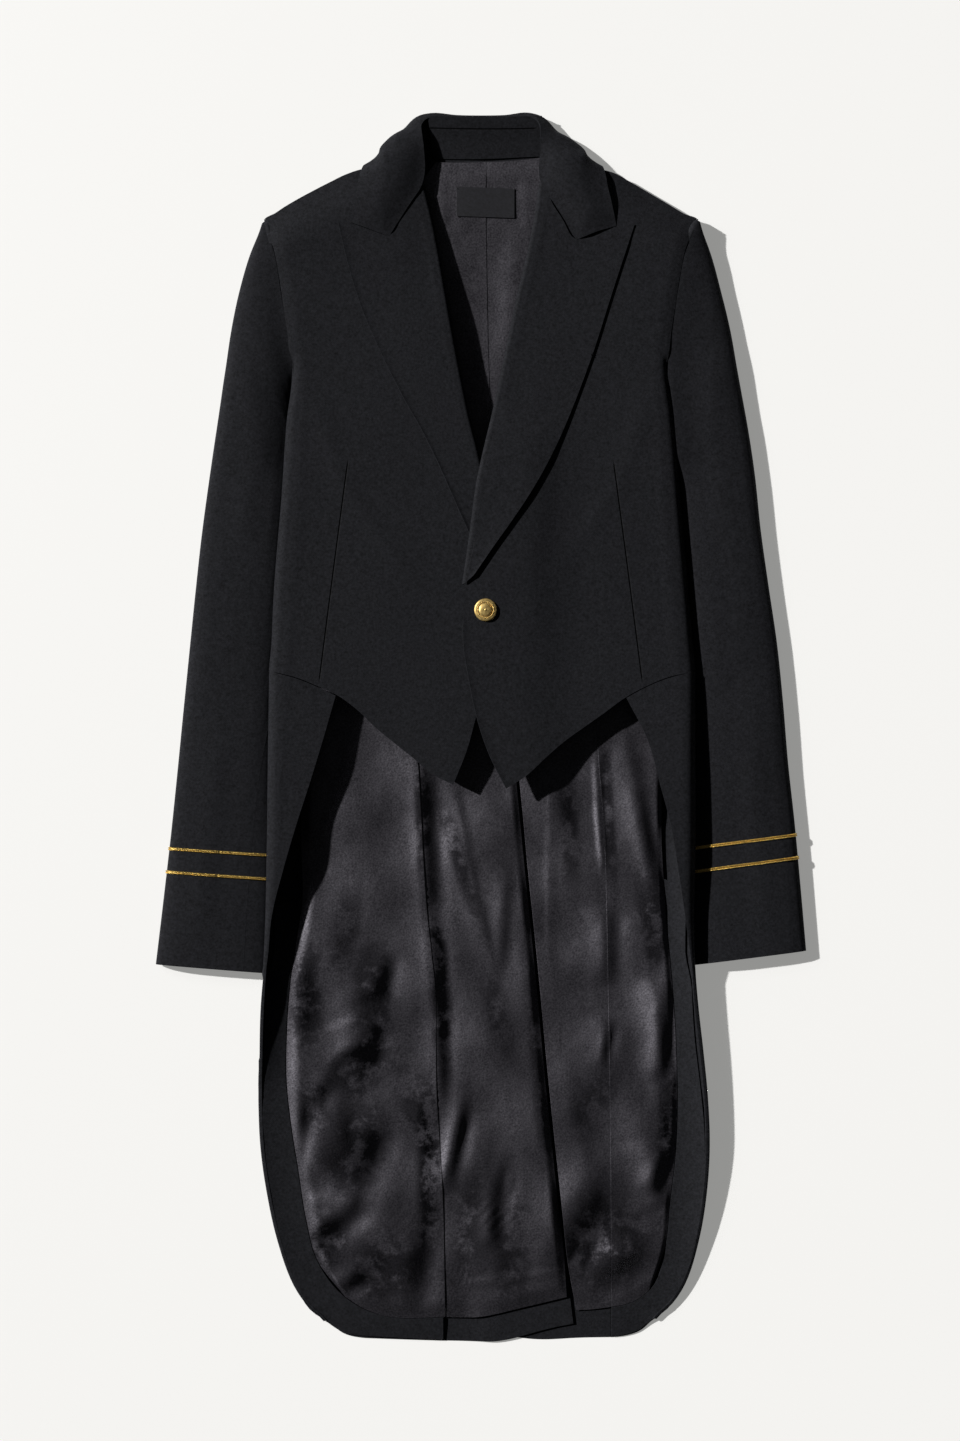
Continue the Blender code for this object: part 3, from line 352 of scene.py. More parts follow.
# Places where the satin falls away from the light: x, y, half width along the fall, half length across it,
# direction of the fall in degrees, slope
SATIN_DENTS = [
    (-126, -436, 13, 26, -52, 0.62), (-161, -362, 9, 24, -8, 0.75), (-95, -279, 11, 16, -20, 0.55),
    (-120, -292, 8, 15, -60, 0.45), (-85, -219, 10, 18, -10, 0.45), (-97, -375, 14, 30, -20, 0.35),
    (-56, -476, 16, 42, -8, 0.42), (-119, -493, 9, 26, -55, 0.55), (-22, -372, 8, 36, -14, 0.6),
    (15, -418, 10, 36, -8, 0.42), (22, -172, 8, 42, -4, 0.3), (165, -264, 11, 42, -3, 0.85),
    (161, -393, 12, 19, -28, 0.65), (86, -442, 26, 46, -22, 0.4), (115, -190, 10, 28, 0, 0.36),
    (112, -277, 6, 16, -12, 0.45), (107, -78, 4, 42, 3, 0.4), (149, -108, 9, 50, 12, 0.5),
    (-44, -100, 10, 62, 2, 0.55), (-38, -205, 9, 32, 5, 0.4), (-33, -285, 8, 42, 0, 0.5),
    (-140, -322, 9, 12, -30, 0.4), (120, -478, 16, 26, -60, 0.4),
]
# Dark places, where the satin's threads lean from the light: x, y, half width along the lean,
# half length across it, direction of the lean in degrees, amount
SATIN_LEANS = [
    (-95, -245, 18, 50, 0, 0.3), (-108, -300, 18, 24, -30, 0.3), (-36, -225, 8, 70, 4, 0.45),
    (-46, -385, 9, 70, 0, 0.5), (-115, -370, 26, 38, -20, 0.3), (-154, -236, 14, 44, 0, 0.35),
    (-85, -478, 28, 30, -40, 0.35), (-9, -430, 12, 46, 0, 0.25), (110, -455, 34, 40, -25, 0.32),
    (28, -462, 16, 52, 0, 0.25), (78, -85, 8, 50, 4, 0.3), (152, -172, 12, 44, 10, 0.35),
    (-18, -120, 7, 60, 18, 0.3), (-52, -70, 6, 60, 2, 0.35), (112, -70, 5, 60, 4, 0.3),
    (166, -350, 10, 60, -6, 0.4), (50, -300, 6, 90, 5, 0.25), (-140, -455, 20, 26, -40, 0.35),
    (-24, -500, 60, 14, -90, 0.25), (-120, -180, 10, 40, -10, 0.2), (100, -330, 14, 30, -30, 0.2),
    (-62, -330, 12, 40, 10, 0.22), (14, -250, 10, 40, 10, 0.2), (-150, -330, 14, 26, -10, 0.25),
]
# Puckers in the satin: x, y, radius, direction of their ridges in degrees, spacing, height
SATIN_PUCKERS = [
    (-36, -200, 13, 20, 6, 0.5), (-30, -262, 12, 15, 6, 0.4), (8, -261, 15, 15, 8, 0.4),
    (12, -432, 22, 35, 8, 0.5), (-28, -380, 12, 10, 7, 0.5), (-68, -436, 15, 30, 8, 0.5),
    (-44, -150, 12, 12, 7, 0.5), (-36, -330, 12, 8, 7, 0.5), (160, -345, 14, -30, 6, 0.5),
    (160, -436, 8, -10, 6, 0.5), (20, -474, 16, 4, 6, 0.5), (-110, -480, 12, 40, 6, 0.5),
    (-142, -300, 12, -45, 6, 0.6), (-150, -404, 10, -30, 7, 0.6), (96, -452, 9, -45, 8, 0.6),
    (-18, -480, 12, 60, 5, 0.5),
]
# Slow waves in a cloth: length in x, length in y, phase, height
SATIN_WAVES = [(92, 150, 0.4, 0.9), (130, -95, 2.1, 0.8), (57, 190, 4.0, 0.35), (160, 70, 1.2, 0.5)]
WOOL_WAVES = [(210, 260, 0.9, 0.22), (140, -190, 2.4, 0.18), (90, 330, 4.4, 0.12)]
# Soft drag lines in the wool, in the same way
WOOL_FOLDS = [
    (9.0, 9.0, 0.7, [(-150, 300), (-120, 210), (-60, 130)]),
    (9.0, 9.0, 0.6, [(150, 300), (122, 215), (70, 140)]),
    (10.0, 10.0, 0.8, [(-205, 330), (-200, 240), (-212, 150)]),
    (9.0, 9.0, 0.7, [(206, 330), (204, 250), (216, 160)]),
    (8.0, 8.0, -0.5, [(-240, 60), (-215, 30), (-200, 20)]),
    (8.0, 8.0, -0.5, [(246, 64), (220, 36), (203, 24)]),
    (11.0, 11.0, 0.7, [(-232, 0), (-240, -90), (-250, -180)]),
    (11.0, 11.0, 0.7, [(236, 0), (242, -90), (250, -180)]),
]
# How high a cloth stands where the waves and folds of the wool begin, and where they are whole
WOOL_LOOSE = (8.0, 12.0)
# The y from which the satin lies looser, and where it is quite loose
SATIN_TAIL = (150.0, 0.0)
# The same where the skirt's edge is only rounded and where the facing reaches out to it, how far it
# reaches, and how far both roll at the edge
SKIRT_FLAT = (-196.0, -220.0)
FACING_EASED = (-196.0, -226.0)
FACING_OUT = 6.6
EDGE_ROLL = 0.9
# Round the head of a sleeve: how far from the armhole, from which y, above which height, and how far
# it rises or sinks
HEAD_REACH = 14.0
HEAD_FROM = (205.0, 245.0)
HEAD_ABOVE = (4.5, 7.5)
HEAD_TOP = 15.6
HEAD_SHARE = 0.8
HEAD_DROP = 3.2
HEAD_DROP_FROM = (440.0, 330.0)
# The collar's stand: how far it lies lower than its solid, and out at its left end
STAND_DROP = 0.7
STAND_OUT = 4.0
STAND_END = (40.0, 52.0)
ALL = math.inf
# Soft shifts of the pieces against their solids, in the order in which they are made: pieces, shift,
# the line or place that it goes round, its reach (for a place: across, along, power of the fall across),
# the range of y and the range of z in which it grows to all of it
SHIFTS = [
    (["lapel_left"], (0, 0, -0.15), CUT["left"]["lapel_outer"], 20, (190, 280), None),
    (["lapel_right"], (0, 0, 0.6), CUT["right"]["lapel_outer"], 1.5, None, None),
    (["collar"], (0, 0, -2.7), CUT["right"]["lapel_top"], 15, None, (12, 16)),
    (["collar"], (0, 0, -2.7), CUT["left"]["lapel_top"], 15, None, (12, 16)),
    (["collar"], (0, 0, -4.2), (-48, 504), (14, 20, 2), None, (10, 13)),
    (["collar"], (0, 0, -4.2), (48, 504), (14, 20, 2), None, (10, 13)),
    (["collar"], (0, 0, -1.8), [(118, 440), (96, 508)], 15, None, None),
    (["collar"], (0, -2.6, 0), (-64, 532), (9, 11, 2), None, None),
    (["collar"], (0, -2.6, 0), (64, 532), (9, 11, 2), None, None),
    (["collar"], (0, 0, -3.4), (0, 0), (42, ALL, 4), (524, 534), (5, 8)),
    (["collar_stand"], (0, 4.6, 2.9), (0, 0), (ALL, ALL, 2), (516, 534), None),
    (["lapel_right", "front_right", "collar"], (0, 0, -2.0), (-42, 0), (26, ALL, 2), (350, 420), (9, 12)),
    (["front_right"], (0, -1.5, 0), (-184, 50), (5.477, 5.477, 2), None, None),
    (["front_left"], (0, -1.5, 0), (184, 50), (5.477, 5.477, 2), None, None),
    (["front_left"], (0, 0, 0.6), CUT["left"]["front_edge"], 1.5, None, None),
    (["front_right", "sleeve_top_right", "sleeve_under_right"], (0, 3.4, 0), (-190, 446), (9, 9, 2),
     None, None),
    (["front_left", "sleeve_top_left", "sleeve_under_left"], (0, 3.4, 0), (190, 446), (9, 9, 2),
     None, None),
    (["skirt_right", "facing_right"], (2.2, 3.2, 0), (-140, -526), (14.142, 14.142, 2), None, None),
    (["skirt_left", "facing_left"], (-2.2, 3.2, 0), (156, -524), (14.142, 14.142, 2), None, None),
]

# What each material sets on its shader
WOOL_TINT = (0.0108, 0.0112, 0.0136)
WOOL_LOOK = {"Roughness": 0.82, "Specular IOR Level": 0.12, "Sheen Weight": 0.035,
             "Sheen Roughness": 0.45, "Sheen Tint": (0.62, 0.66, 0.78, 1)}
SATIN_GLOSS = (0.91, 0.88, 1.0)
SATIN_LOOK = {"Base Color": (0.0046, 0.0041, 0.0060, 1), "Roughness": 0.56, "IOR": 1.62,
              "Specular IOR Level": 1.0}
LABEL_TINT = (0.0086, 0.0088, 0.0122)
LABEL_LOOK = {"Roughness": 0.6}
# A little light of the floor's own keeps the shadows on the paper as pale as in the photograph.
FLOOR_LOOK = {"Base Color": (0.87, 0.87, 0.87, 1), "Roughness": 0.9, "Specular IOR Level": 0.1,
              "Emission Color": (0.96, 0.96, 0.93, 1), "Emission Strength": 0.285}
BRAID_GOLD = (0.86, 0.60, 0.17)
BRAID_LOOK = {"Metallic": 0.9, "Roughness": 0.38}
BUTTON_GOLD = (0.95, 0.68, 0.25)
BUTTON_LOOK = {"Metallic": 0.8, "Roughness": 0.46}
# Sizes of the noises in the cloth and the metals, in repeats per metre
NAP = 560.0
COARSE_NAP = 260.0
SATIN_SLOW = 21.0
SATIN_QUICK = 120.0
SATIN_CLOUDS = 44.0
SATIN_THREAD = 640.0
BRAID_SPOTS = 900.0
BUTTON_SPOTS = 500.0
# Where the front darts run, in m, by distance from the middle; and the seam between the collar's stand
# and its leaf. Along both lines the wool gets a groove in its bump and a painted shade in its colour
DART = {"Start": 0.236, "End": 0.040, "At_start": 0.1165, "Slope": 0.0265, "Bend": -0.0010,
        "Width": 0.0009}
STAND_SEAM = {"Start": -0.046, "End": 0.050, "At_start": 0.5290, "Slope": -0.0030, "Bend": 0.0030,
              "Width": 0.0009}

# The light and the camera, which looks straight down from 3 m
SUN_TURN = 22.0
SUN_RISE = 28.0
SUN_POWER = 4.6
SOFT_POWER = 4.0
SOFT_PLACE = (-1.9, 1.1, 1.15)
SKY_POWER = 0.022
CAMERA_PLACE = (-0.0009, 0.0070, 3.0)
CAMERA_LENS = 84.8
FLOOR_HALF = 9.0
FLOOR_DEPTH = 0.0004


def mix(a, b, t):
    """The point or number that is t of the way from a to b."""
    return a + (b - a) * t


def smooth_step(t):
    t = min(max(t, 0.0), 1.0)
    return t * t * (3 - 2 * t)


def shares(count):
    return [i / count for i in range(count + 1)]


def table_value(table, y, column=1):
    """A column of a table whose rows run down from the highest y, read between its rows."""
    if y >= table[0][0]:
        return table[0][column]
    for above, below in zip(table, table[1:]):
        if y >= below[0]:
            return mix(above[column], below[column], (above[0] - y) / (above[0] - below[0]))
    return table[-1][column]


def x_on(points, y):
    """Where a curve that runs from collar to hem is at this y."""
    return table_value([(b, a) for a, b in points], y)


def spline(points, t):
    """A point of the smooth curve through all the points, with t from 0 to their last index."""
    i = min(int(t), len(points) - 2)
    f = t - i
    p1, p2 = Vector(points[i]), Vector(points[i + 1])
    p0 = Vector(points[i - 1]) if i else p1 * 2 - p2
    p3 = Vector(points[i + 2]) if i + 2 < len(points) else p2 * 2 - p1
    return (p1 * 2 + (p2 - p0) * f + (p0 * 2 - p1 * 5 + p2 * 4 - p3) * f * f
            + (p1 * 3 - p0 - p2 * 3 + p3) * f ** 3) / 2


def straight(points, t):
    """As spline, with straight runs between the points."""
    i = min(int(t), len(points) - 2)
    return mix(Vector(points[i]), Vector(points[i + 1]), t - i)


def walk(points, places, reader=spline, steps=8):
    """Points of the curve at these shares of its length. A whole number means that many even cells."""
    if isinstance(places, int):
        places = shares(places)
    passed = [reader(points, i / steps) for i in range(steps * (len(points) - 1) + 1)]
    reach = [0.0]
    for a, b in zip(passed, passed[1:]):
        reach.append(reach[-1] + (b - a).length)
    found = []
    i = 1
    for place in places:
        wanted = place * reach[-1]
        while reach[i] < wanted and i < len(reach) - 1:
            i += 1
        found.append(mix(passed[i - 1], passed[i], (wanted - reach[i - 1]) / (reach[i] - reach[i - 1])))
    return found


def joined(*runs):
    """Runs of points, end to end, without the point that two of them share."""
    points = list(runs[0])
    for run in runs[1:]:
        points += run[1:]
    return points


def fill(outer, inner, top, bottom):
    """Rows of points between four edges. A row runs from outer to inner, the rows from top to bottom."""
    rows, columns = len(outer) - 1, len(top) - 1
    grid = []
    for r in range(rows + 1):
        v = r / rows
        line = []
        for c in range(columns + 1):
            u = (top[c] - top[0]).length / (top[-1] - top[0]).length
            sides = mix(outer[r], inner[r], u)
            ends = mix(top[c], bottom[c], v)
            corners = mix(mix(outer[0], inner[0], u), mix(outer[-1], inner[-1], u), v)
            line.append(sides + ends - corners)
        grid.append(line)
    return grid


def nearest(points, x, y):
    """Distance in plan from a point to a polyline."""
    here = Vector((x, y))
    found = []
    for a, b in zip(points, points[1:]):
        a, run = Vector(a), Vector(b) - Vector(a)
        share = min(max((here - a).dot(run) / run.length_squared, 0), 1)
        found.append((here - a - run * share).length)
    return min(found)


def pulled_back(grid, ends, gap=SEAM_GAP / 2):
    """Moves the named ends of a grid in by half a seam's gap."""
    rows = [[Vector(p) for p in row] for row in grid]
    for row in rows:
        if "first" in ends:
            row[0] += (row[1] - row[0]).normalized() * gap
        if "last" in ends:
            row[-1] += (row[-2] - row[-1]).normalized() * gap
    for edge, beside, name in ((0, 1, "top"), (-1, -2, "bottom")):
        if name in ends:
            rows[edge] = [p + (q - p).normalized() * gap for p, q in zip(rows[edge], rows[beside])]
    return rows


def raised(grid, height, amount=0.0):
    """The plan's points put on a surface, or that far above it along its normal."""
    step = 0.5
    made = []
    for row in grid:
        line = []
        for p in row:
            here = height(p.x, p.y)
            slope_x = (height(p.x + step, p.y) - height(p.x - step, p.y)) / (2 * step)
            slope_y = (height(p.x, p.y + step) - height(p.x, p.y - step)) / (2 * step)
            line.append(Vector((p.x, p.y, here)) + Vector((-slope_x, -slope_y, 1)).normalized() * amount)
        made.append(line)
    return made


def stretched(rows, times):
    """The rows with that many steps between each two, on a smooth curve through them."""
    count = len(rows) - 1
    spans = [np.linalg.norm(rows[i + 1] - rows[i], axis=-1, keepdims=True) + 1e-6 for i in range(count)]
    rates = [(rows[1] - rows[0]) / spans[0]]
    for i in range(1, count):
        before, after = (rows[i] - rows[i - 1]) / spans[i - 1], (rows[i + 1] - rows[i]) / spans[i]
        rates.append((before * spans[i] + after * spans[i - 1]) / (spans[i] + spans[i - 1]))
    rates.append((rows[-1] - rows[-2]) / spans[-1])
    made = []
    for i in range(count):
        for step in range(times):
            t = step / times
            made.append(rows[i] * (1 + t * t * (2 * t - 3)) + rows[i + 1] * t * t * (3 - 2 * t)
                        + spans[i] * (rates[i] * t * (1 - t) ** 2 - rates[i + 1] * t * t * (1 - t)))
    made.append(rows[-1])
    return np.array(made)


def from_line(points, x, y):
    """Distance in plan of every point from a polyline, and the share of the line at the nearest place."""
    best = np.full(x.shape, 1e9)
    place = np.zeros(x.shape)
    for i, ((ax, ay), (bx, by)) in enumerate(zip(points, points[1:])):
        run = (bx - ax) ** 2 + (by - ay) ** 2
        share = ((x - ax) * (bx - ax) + (y - ay) * (by - ay)) / run
        inside = np.clip(share, 0, 1)
        gap = np.hypot(x - ax - inside * (bx - ax), y - ay - inside * (by - ay))
        place = np.where(gap < best, (i + inside) / (len(points) - 1), place)
        best = np.minimum(best, gap)
    return best, place


def folds(table, x, y):
    """Height of the listed folds, each with its own slope on either side. They fade out towards their ends.
    """
    high = np.zeros(x.shape)
    for left, right, height, points in table:
        gap, place = from_line(points, x, y)
        ridge = sorted((p[1], p[0]) for p in points)
        beyond = x - np.interp(y, [p[0] for p in ridge], [p[1] for p in ridge])
        width = np.where(beyond > 0, right, left)
        high += height * np.exp(-(gap / width) ** 2) * np.clip(6 * place * (1 - place) + 0.25, 0, 1)
    return high


def ramp(value, low, high):
    """From 0 at low to 1 at high, straight between them."""
    return np.clip((value - low) / (high - low), 0, 1)


def eased(value):
    """From 0 to 1 and level at both ends, for arrays."""
    value = np.clip(value, 0, 1)
    return value * value * (3 - 2 * value)


def bell(where, reach, x, y):
    """1 on the line or at the place, and 0 well away from it."""
    if isinstance(where, list):
        return np.exp(-(from_line(where, x, y)[0] / reach) ** 2)
    across, along, power = reach
    return np.exp(-(np.abs(x - where[0]) / across) ** power - ((y - where[1]) / along) ** 2)


def turned(x, y, centre_x, centre_y, direction):
    """How far each point lies from the centre in this direction, in degrees, and to its left."""
    turn = math.radians(direction)
    along = (x - centre_x) * math.cos(turn) + (y - centre_y) * math.sin(turn)
    across = (y - centre_y) * math.cos(turn) - (x - centre_x) * math.sin(turn)
    return along, across


def dents(x, y):
    """Height of the tilted patches where the cloth falls away from the light."""
    high = np.zeros(x.shape)
    for centre_x, centre_y, half, long_way, direction, slope in SATIN_DENTS:
        fall, beside = turned(x, y, centre_x, centre_y, direction)
        high -= slope * fall * np.exp(-(fall / half) ** 2 - (beside / long_way) ** 4)
    return high


def puckers(x, y):
    """Height of small patches of short ridges, where the satin is drawn together."""
    high = np.zeros(x.shape)
    for centre_x, centre_y, radius, direction, spacing, height in SATIN_PUCKERS:
        along, across = turned(x, y, centre_x, centre_y, direction)
        near = np.exp(-((across / radius) ** 2 + (along / (0.6 * radius)) ** 2))
        high -= height * near * np.sin(math.tau * across / spacing - 1.5 * np.sin(along / spacing))
    return high


def waves(table, x, y):
    """Height of slow waves, which wander a little."""
    high = np.zeros(x.shape)
    wander = 0.8 * np.sin(y / 43 + x / 71)
    for length_x, length_y, phase, height in table:
        high += height * np.sin(math.tau * (x / length_x + y / length_y) + phase + wander)
    return high


def neck_rise(x, y):
    """The back of the neck lies higher towards the wearer's right."""
    return 2.2 * np.exp(-((x + 28) / 42) ** 2 - ((y - 455) / 90) ** 2)


def satin_lift(x, y):
    """How far the satin stands off the wool under it. It lies still at the neck and flat round the label."""
    tail = eased(ramp(y, *SATIN_TAIL))
    loose = (0.3 + 0.7 * tail) * (waves(SATIN_WAVES, x, y) + puckers(x, y))
    high = np.maximum(0.6 + 1.5 * tail + 0.8 * (folds(SATIN_FOLDS, x, y) + dents(x, y) + loose), 0.0)
    off_x = np.abs(x - LABEL_CENTRE[0]) - LABEL_SIZE[0] / 2
    off_y = np.abs(y - LABEL_CENTRE[1]) - LABEL_SIZE[1] / 2
    return 0.05 + high * eased((np.maximum(off_x, off_y) - 1) / 12) + neck_rise(x, y)


def add_lean(mesh):
    """Writes how far the satin's threads lean at each point, where its nap is pressed away from the light."""
    places = np.array([v.co[:2] for v in mesh.vertices]) / MM
    lean = np.zeros((len(places), 3))
    for x, y, width, length, direction, amount in SATIN_LEANS:
        along, across = turned(places[:, 0], places[:, 1], x, y, direction)
        strength = amount * np.exp(-np.abs(along / width) ** 3 - np.abs(across / length) ** 3)
        lean[:, 0] += strength * math.cos(math.radians(direction))
        lean[:, 1] += strength * math.sin(math.radians(direction))
    mesh.attributes.new("lean", "FLOAT_VECTOR", "POINT").data.foreach_set("vector", lean.ravel())


def sew_lining(name, points):
    """Folds a lining: held down where it is sewn to the wool, lapped where two linings meet."""
    x, y, z = points[..., 0], points[..., 1], points[..., 2]
    free = np.ones(y.shape)
    held_rows = 5
    for i in range(held_rows):
        share = eased(np.array((i + 0.6) / held_rows))
        free[i] = np.minimum(free[i], share)
        free[-1 - i] = np.minimum(free[-1 - i], share)
        if name.startswith("lining_skirt"):
            free[:, i] = np.minimum(free[:, i], share)
        elif name.endswith("right"):
            held = np.where(y[:, -1 - i] < VENT_LIFT_TOP, share, 1)
            free[:, -1 - i] = np.minimum(free[:, -1 - i], held)
    z += (satin_lift(x, y) + LINING_STEP[name]) * free
    # Of two pieces that meet, the one nearer the light lies higher and laps over the other.
    over = {"lining_back_right": -1, "lining_back_left": 0, "lining_skirt_right": -1}.get(name)
    if over is not None:
        lap = y[:, over] > (VENT_EDGE[0][1] if name == "lining_back_right" else -ALL)
        x[:, over] += LINING_LAP * lap


def raise_head(side, points):
    """Brings the sleeve's head level with the front, where the armhole's seam joins them."""
    x, y, z = points[..., 0], points[..., 1], points[..., 2]
    near = bell(CUT[side]["armhole_side"], HEAD_REACH, x, y)
    near *= eased(ramp(y, *HEAD_FROM)) * ramp(z, *HEAD_ABOVE)
    if side == "left":
        z += near * np.maximum(HEAD_TOP - z, 0) * HEAD_SHARE
    else:
        z -= HEAD_DROP * near * eased(ramp(y, *HEAD_DROP_FROM))


def outward(points, beside):
    """The way out of the grid across its first column, one for each row, in plan."""
    out = points[:, :1, :2] - points[:, beside:beside + 1, :2]
    return out / np.linalg.norm(out, axis=-1, keepdims=True)


def round_skirt(points):
    """Pushes the back seam out, and leaves only a rounded edge below the turned-back strip."""
    y, z = points[..., 1], points[..., 2]
    points[:, :1, :2] += SEAM_GAP * outward(points, 1)
    fold = SKIRT_COLUMNS * FINER["skirt"][1]
    flat = eased(ramp(y[:, fold:], *SKIRT_FLAT))
    run = np.linspace(0, 1, points.shape[1] - fold)[None]
    z[:, fold:] += flat * (z[:, fold:fold + 1] + EDGE_ROLL * run - z[:, fold:])


def ease_facing(side, points):
    """Lets the facing reach the skirt's edge where no strip is turned back, and lays it on the skirt."""
    ease = np.linspace(1, 0, points.shape[1])[None] ** 2 * eased(ramp(points[..., 1], *FACING_EASED))
    points[..., :2] += outward(points, 3) * FACING_OUT * ease[..., None]
    rise = [[skirt_height(side, p[0], p[1]) for p in row] for row in points.tolist()]
    points[..., 2] = np.array(rise) + LAYER + CURVE_CLEAR - EDGE_ROLL * ease


def detail(name, points):
    """The piece's points with its folds and the shifts of the cloth in them."""
    x, y, z = points[..., 0], points[..., 1], points[..., 2]
    side = "right" if name.endswith("right") else "left"
    if name.startswith("lining"):
        sew_lining(name, points)
    elif name == "label":
        z += satin_lift(x, y) + LABEL_RISE
    elif name.startswith(("front", "lapel", "sleeve")):
        z += (waves(WOOL_WAVES, x, y) + folds(WOOL_FOLDS, x, y)) * ramp(z, *WOOL_LOOSE)
    if name.startswith("sleeve"):
        raise_head(side, points)
    for names, shift, where, reach, range_y, range_z in SHIFTS:
        if name in names:
            near = bell(where, reach, x, y)
            if range_y:
                near *= eased(ramp(y, *range_y))
            if range_z:
                near *= ramp(z, *range_z)
            points += near[..., None] * shift
    if name == "collar_stand":
        z += neck_rise(x, y) - STAND_DROP
        x += STAND_OUT * eased(ramp(x, *STAND_END))
    if name.startswith("skirt"):
        round_skirt(points)
    if name.startswith("facing"):
        ease_facing(side, points)
    return points


def sheet_mesh(name, faces):
    """A mesh from one grid of points, or a closed wall from two."""
    rows, columns = faces[0].shape[:2]
    count = rows * columns
    index = np.arange(count).reshape(rows, columns)
    quads = np.stack([index[:-1, :-1], index[:-1, 1:], index[1:, 1:], index[1:, :-1]], -1).reshape(-1, 4)
    if len(faces) == 2:
        rim = np.concatenate([index[0], index[1:, -1], index[-1, -2::-1], index[-2:0:-1, 0]])
        after = np.roll(rim, -1)
        band = np.stack([after, rim, rim + count, after + count], -1)
        quads = np.concatenate([quads, quads[:, ::-1] + count, band])
    mesh = bpy.data.meshes.new(name)
    mesh.from_pydata(np.concatenate([f.reshape(-1, 3) for f in faces]) * MM, [], quads.tolist())
    if len(faces) == 2:
        work = bmesh.new()
        work.from_mesh(mesh)
        bmesh.ops.recalc_face_normals(work, faces=work.faces)
        work.to_mesh(mesh)
        work.free()
    return mesh


def add_object(node, mesh, material):
    """A shown piece, which stands for the CAD node and takes its material slot."""
    mesh.materials.append(FINISHES[material])
    mesh.shade_smooth()
    made = bpy.data.objects.new(node + "_piece", mesh)
    bpy.context.scene.collection.objects.link(made)
    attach(made, "root")
    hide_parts(node)
    PIECES[node] = made
    return made


def rounded(made, radius):
    edge = made.modifiers.new("edge", "BEVEL")
    edge.width = radius * MM
    edge.harden_normals = True
    edge.segments = 2
    edge.limit_method = "ANGLE"
    edge.angle_limit = math.radians(55)


def finer(name, grid):
    kind = name.removesuffix("_right").removesuffix("_left")
    along, across = FINER[kind]
    points = np.array([[tuple(p) for p in row] for row in grid])
    points = stretched(points, along)
    points = stretched(points.swapaxes(0, 1), across).swapaxes(0, 1)
    return detail(name, np.ascontiguousarray(points))


def add_sheet(name, grid, thickness, material, outward, at=(0.5, 0.5)):
    """A sheet of cloth. The grid is its outer face, which looks along outward at the given place."""
    row, column = int((len(grid) - 2) * at[0]), int((len(grid[0]) - 2) * at[1])
    a, b, c = grid[row][column], grid[row][column + 1], grid[row + 1][column]
    if (b - a).cross(c - a).z * outward > 0:
        grid = grid[::-1]
    made = add_object(name, sheet_mesh(name, [finer(name, grid)]), material)
    if material == "satin":
        add_lean(made.data)
    wall = made.modifiers.new("wall", "SOLIDIFY")
    wall.thickness = thickness * MM * THINNED.get(name.split("_")[0], 1)
    wall.offset = -1
    rounded(made, EDGE_ROUND[material])
    return made


def add_wall(name, outer, inner, material):
    made = add_object(name, sheet_mesh(name, [finer(name, outer), finer(name, inner)]), material)
    rounded(made, EDGE_ROUND[material])
    return made


def neck_lift(y, lead=0.0):
    """The back and its lining rise over the fall of the collar."""
    return LAYER * smooth_step((y + lead - NECK_LIFT[0]) / (NECK_LIFT[1] - NECK_LIFT[0]))


def vent_lift(x, y, lead=0.0):
    """The right tail rises over the underlap of the left one."""
    across = x + lead - x_on(UNDERLAP_EDGE, y) + VENT_LIFT_RUN + VENT_LIFT_CLEAR
    down = VENT_LIFT_TOP - y + lead
    return LAYER * smooth_step(across / VENT_LIFT_RUN) * smooth_step(down / VENT_LIFT_RUN)


def back_height(side, x, y, lead=0.0):
    """Underside of the back. With a lead, the lifts start that much before, for what lies on it."""
    low = neck_lift(y, lead)
    if side == "right":
        low += vent_lift(x, y, lead)
    return low


def skirt_height(side, x, y):
    """Underside of the skirt, which turns up towards its outer edge."""
    gap = nearest(CUT[side]["skirt_outer"], x, y)
    rise, width = [table_value(SKIRT_RISE[side], y, column) for column in (1, 2)]
    return rise * max(0.0, 1 - gap / width) ** 2


def front_top(side, x, y):
    """Outer face of a front, without the roundings at its shoulder and side."""
    high = table_value(FRONT_TOP, y)
    if side == "left":
        low, far = OVERLAP_FADE
        high += table_value(OVERLAP_RAISE, y) * (1 - smooth_step((x - low) / (far - low)))
    return high


def front_point(side, x, y, level):
    """A point of the front's outer face, lowered to its level and towards the shoulder line."""
    top = front_top(side, x, y) * level
    ridge = min(table_value(SHOULDER_RIDGE, abs(x)), top)
    gap = min(nearest(CUT[side]["shoulder"], x, y) / SHOULDER_ROUND, 1.0)
    return Vector((x, y, mix(ridge, top, math.sqrt(1 - (1 - gap) ** 2))))


def front_surface(side, rows, columns):
    """The outer face of a front, from its side seam on the floor, over the fold and to its edge."""
    shape = CUT[side]
    inward = 1 if side == "right" else -1
    folds = walk(shape["armhole_side"], rows)
    edge = walk(shape["roll"] + shape["front_edge"][1:], rows)
    plan = fill(folds, edge, walk(shape["shoulder"], columns), walk(shape["front_hem"], columns))
    grid = []
    for fold, row in zip(folds, plan):
        wrap = smooth_step((UNDERARM_TOP - fold.y) / UNDERARM_RUN)
        along = (row[1] - fold).normalized()
        line = []
        for (round_in, round_z), (flat_in, flat_z) in zip(SIDE_SECTION, ARMHOLE_SECTION):
            p = fold + (along if wrap < 0.5 else Vector((inward, 0))) * mix(flat_in, round_in, wrap)
            line.append(front_point(side, p.x, p.y, mix(flat_z, round_z, wrap)))
        across = [fold + along * SIDE_ROUND] + row[1:]
        line += [front_point(side, p.x, p.y, 1.0) for p in across]
        grid.append(line)
    return grid


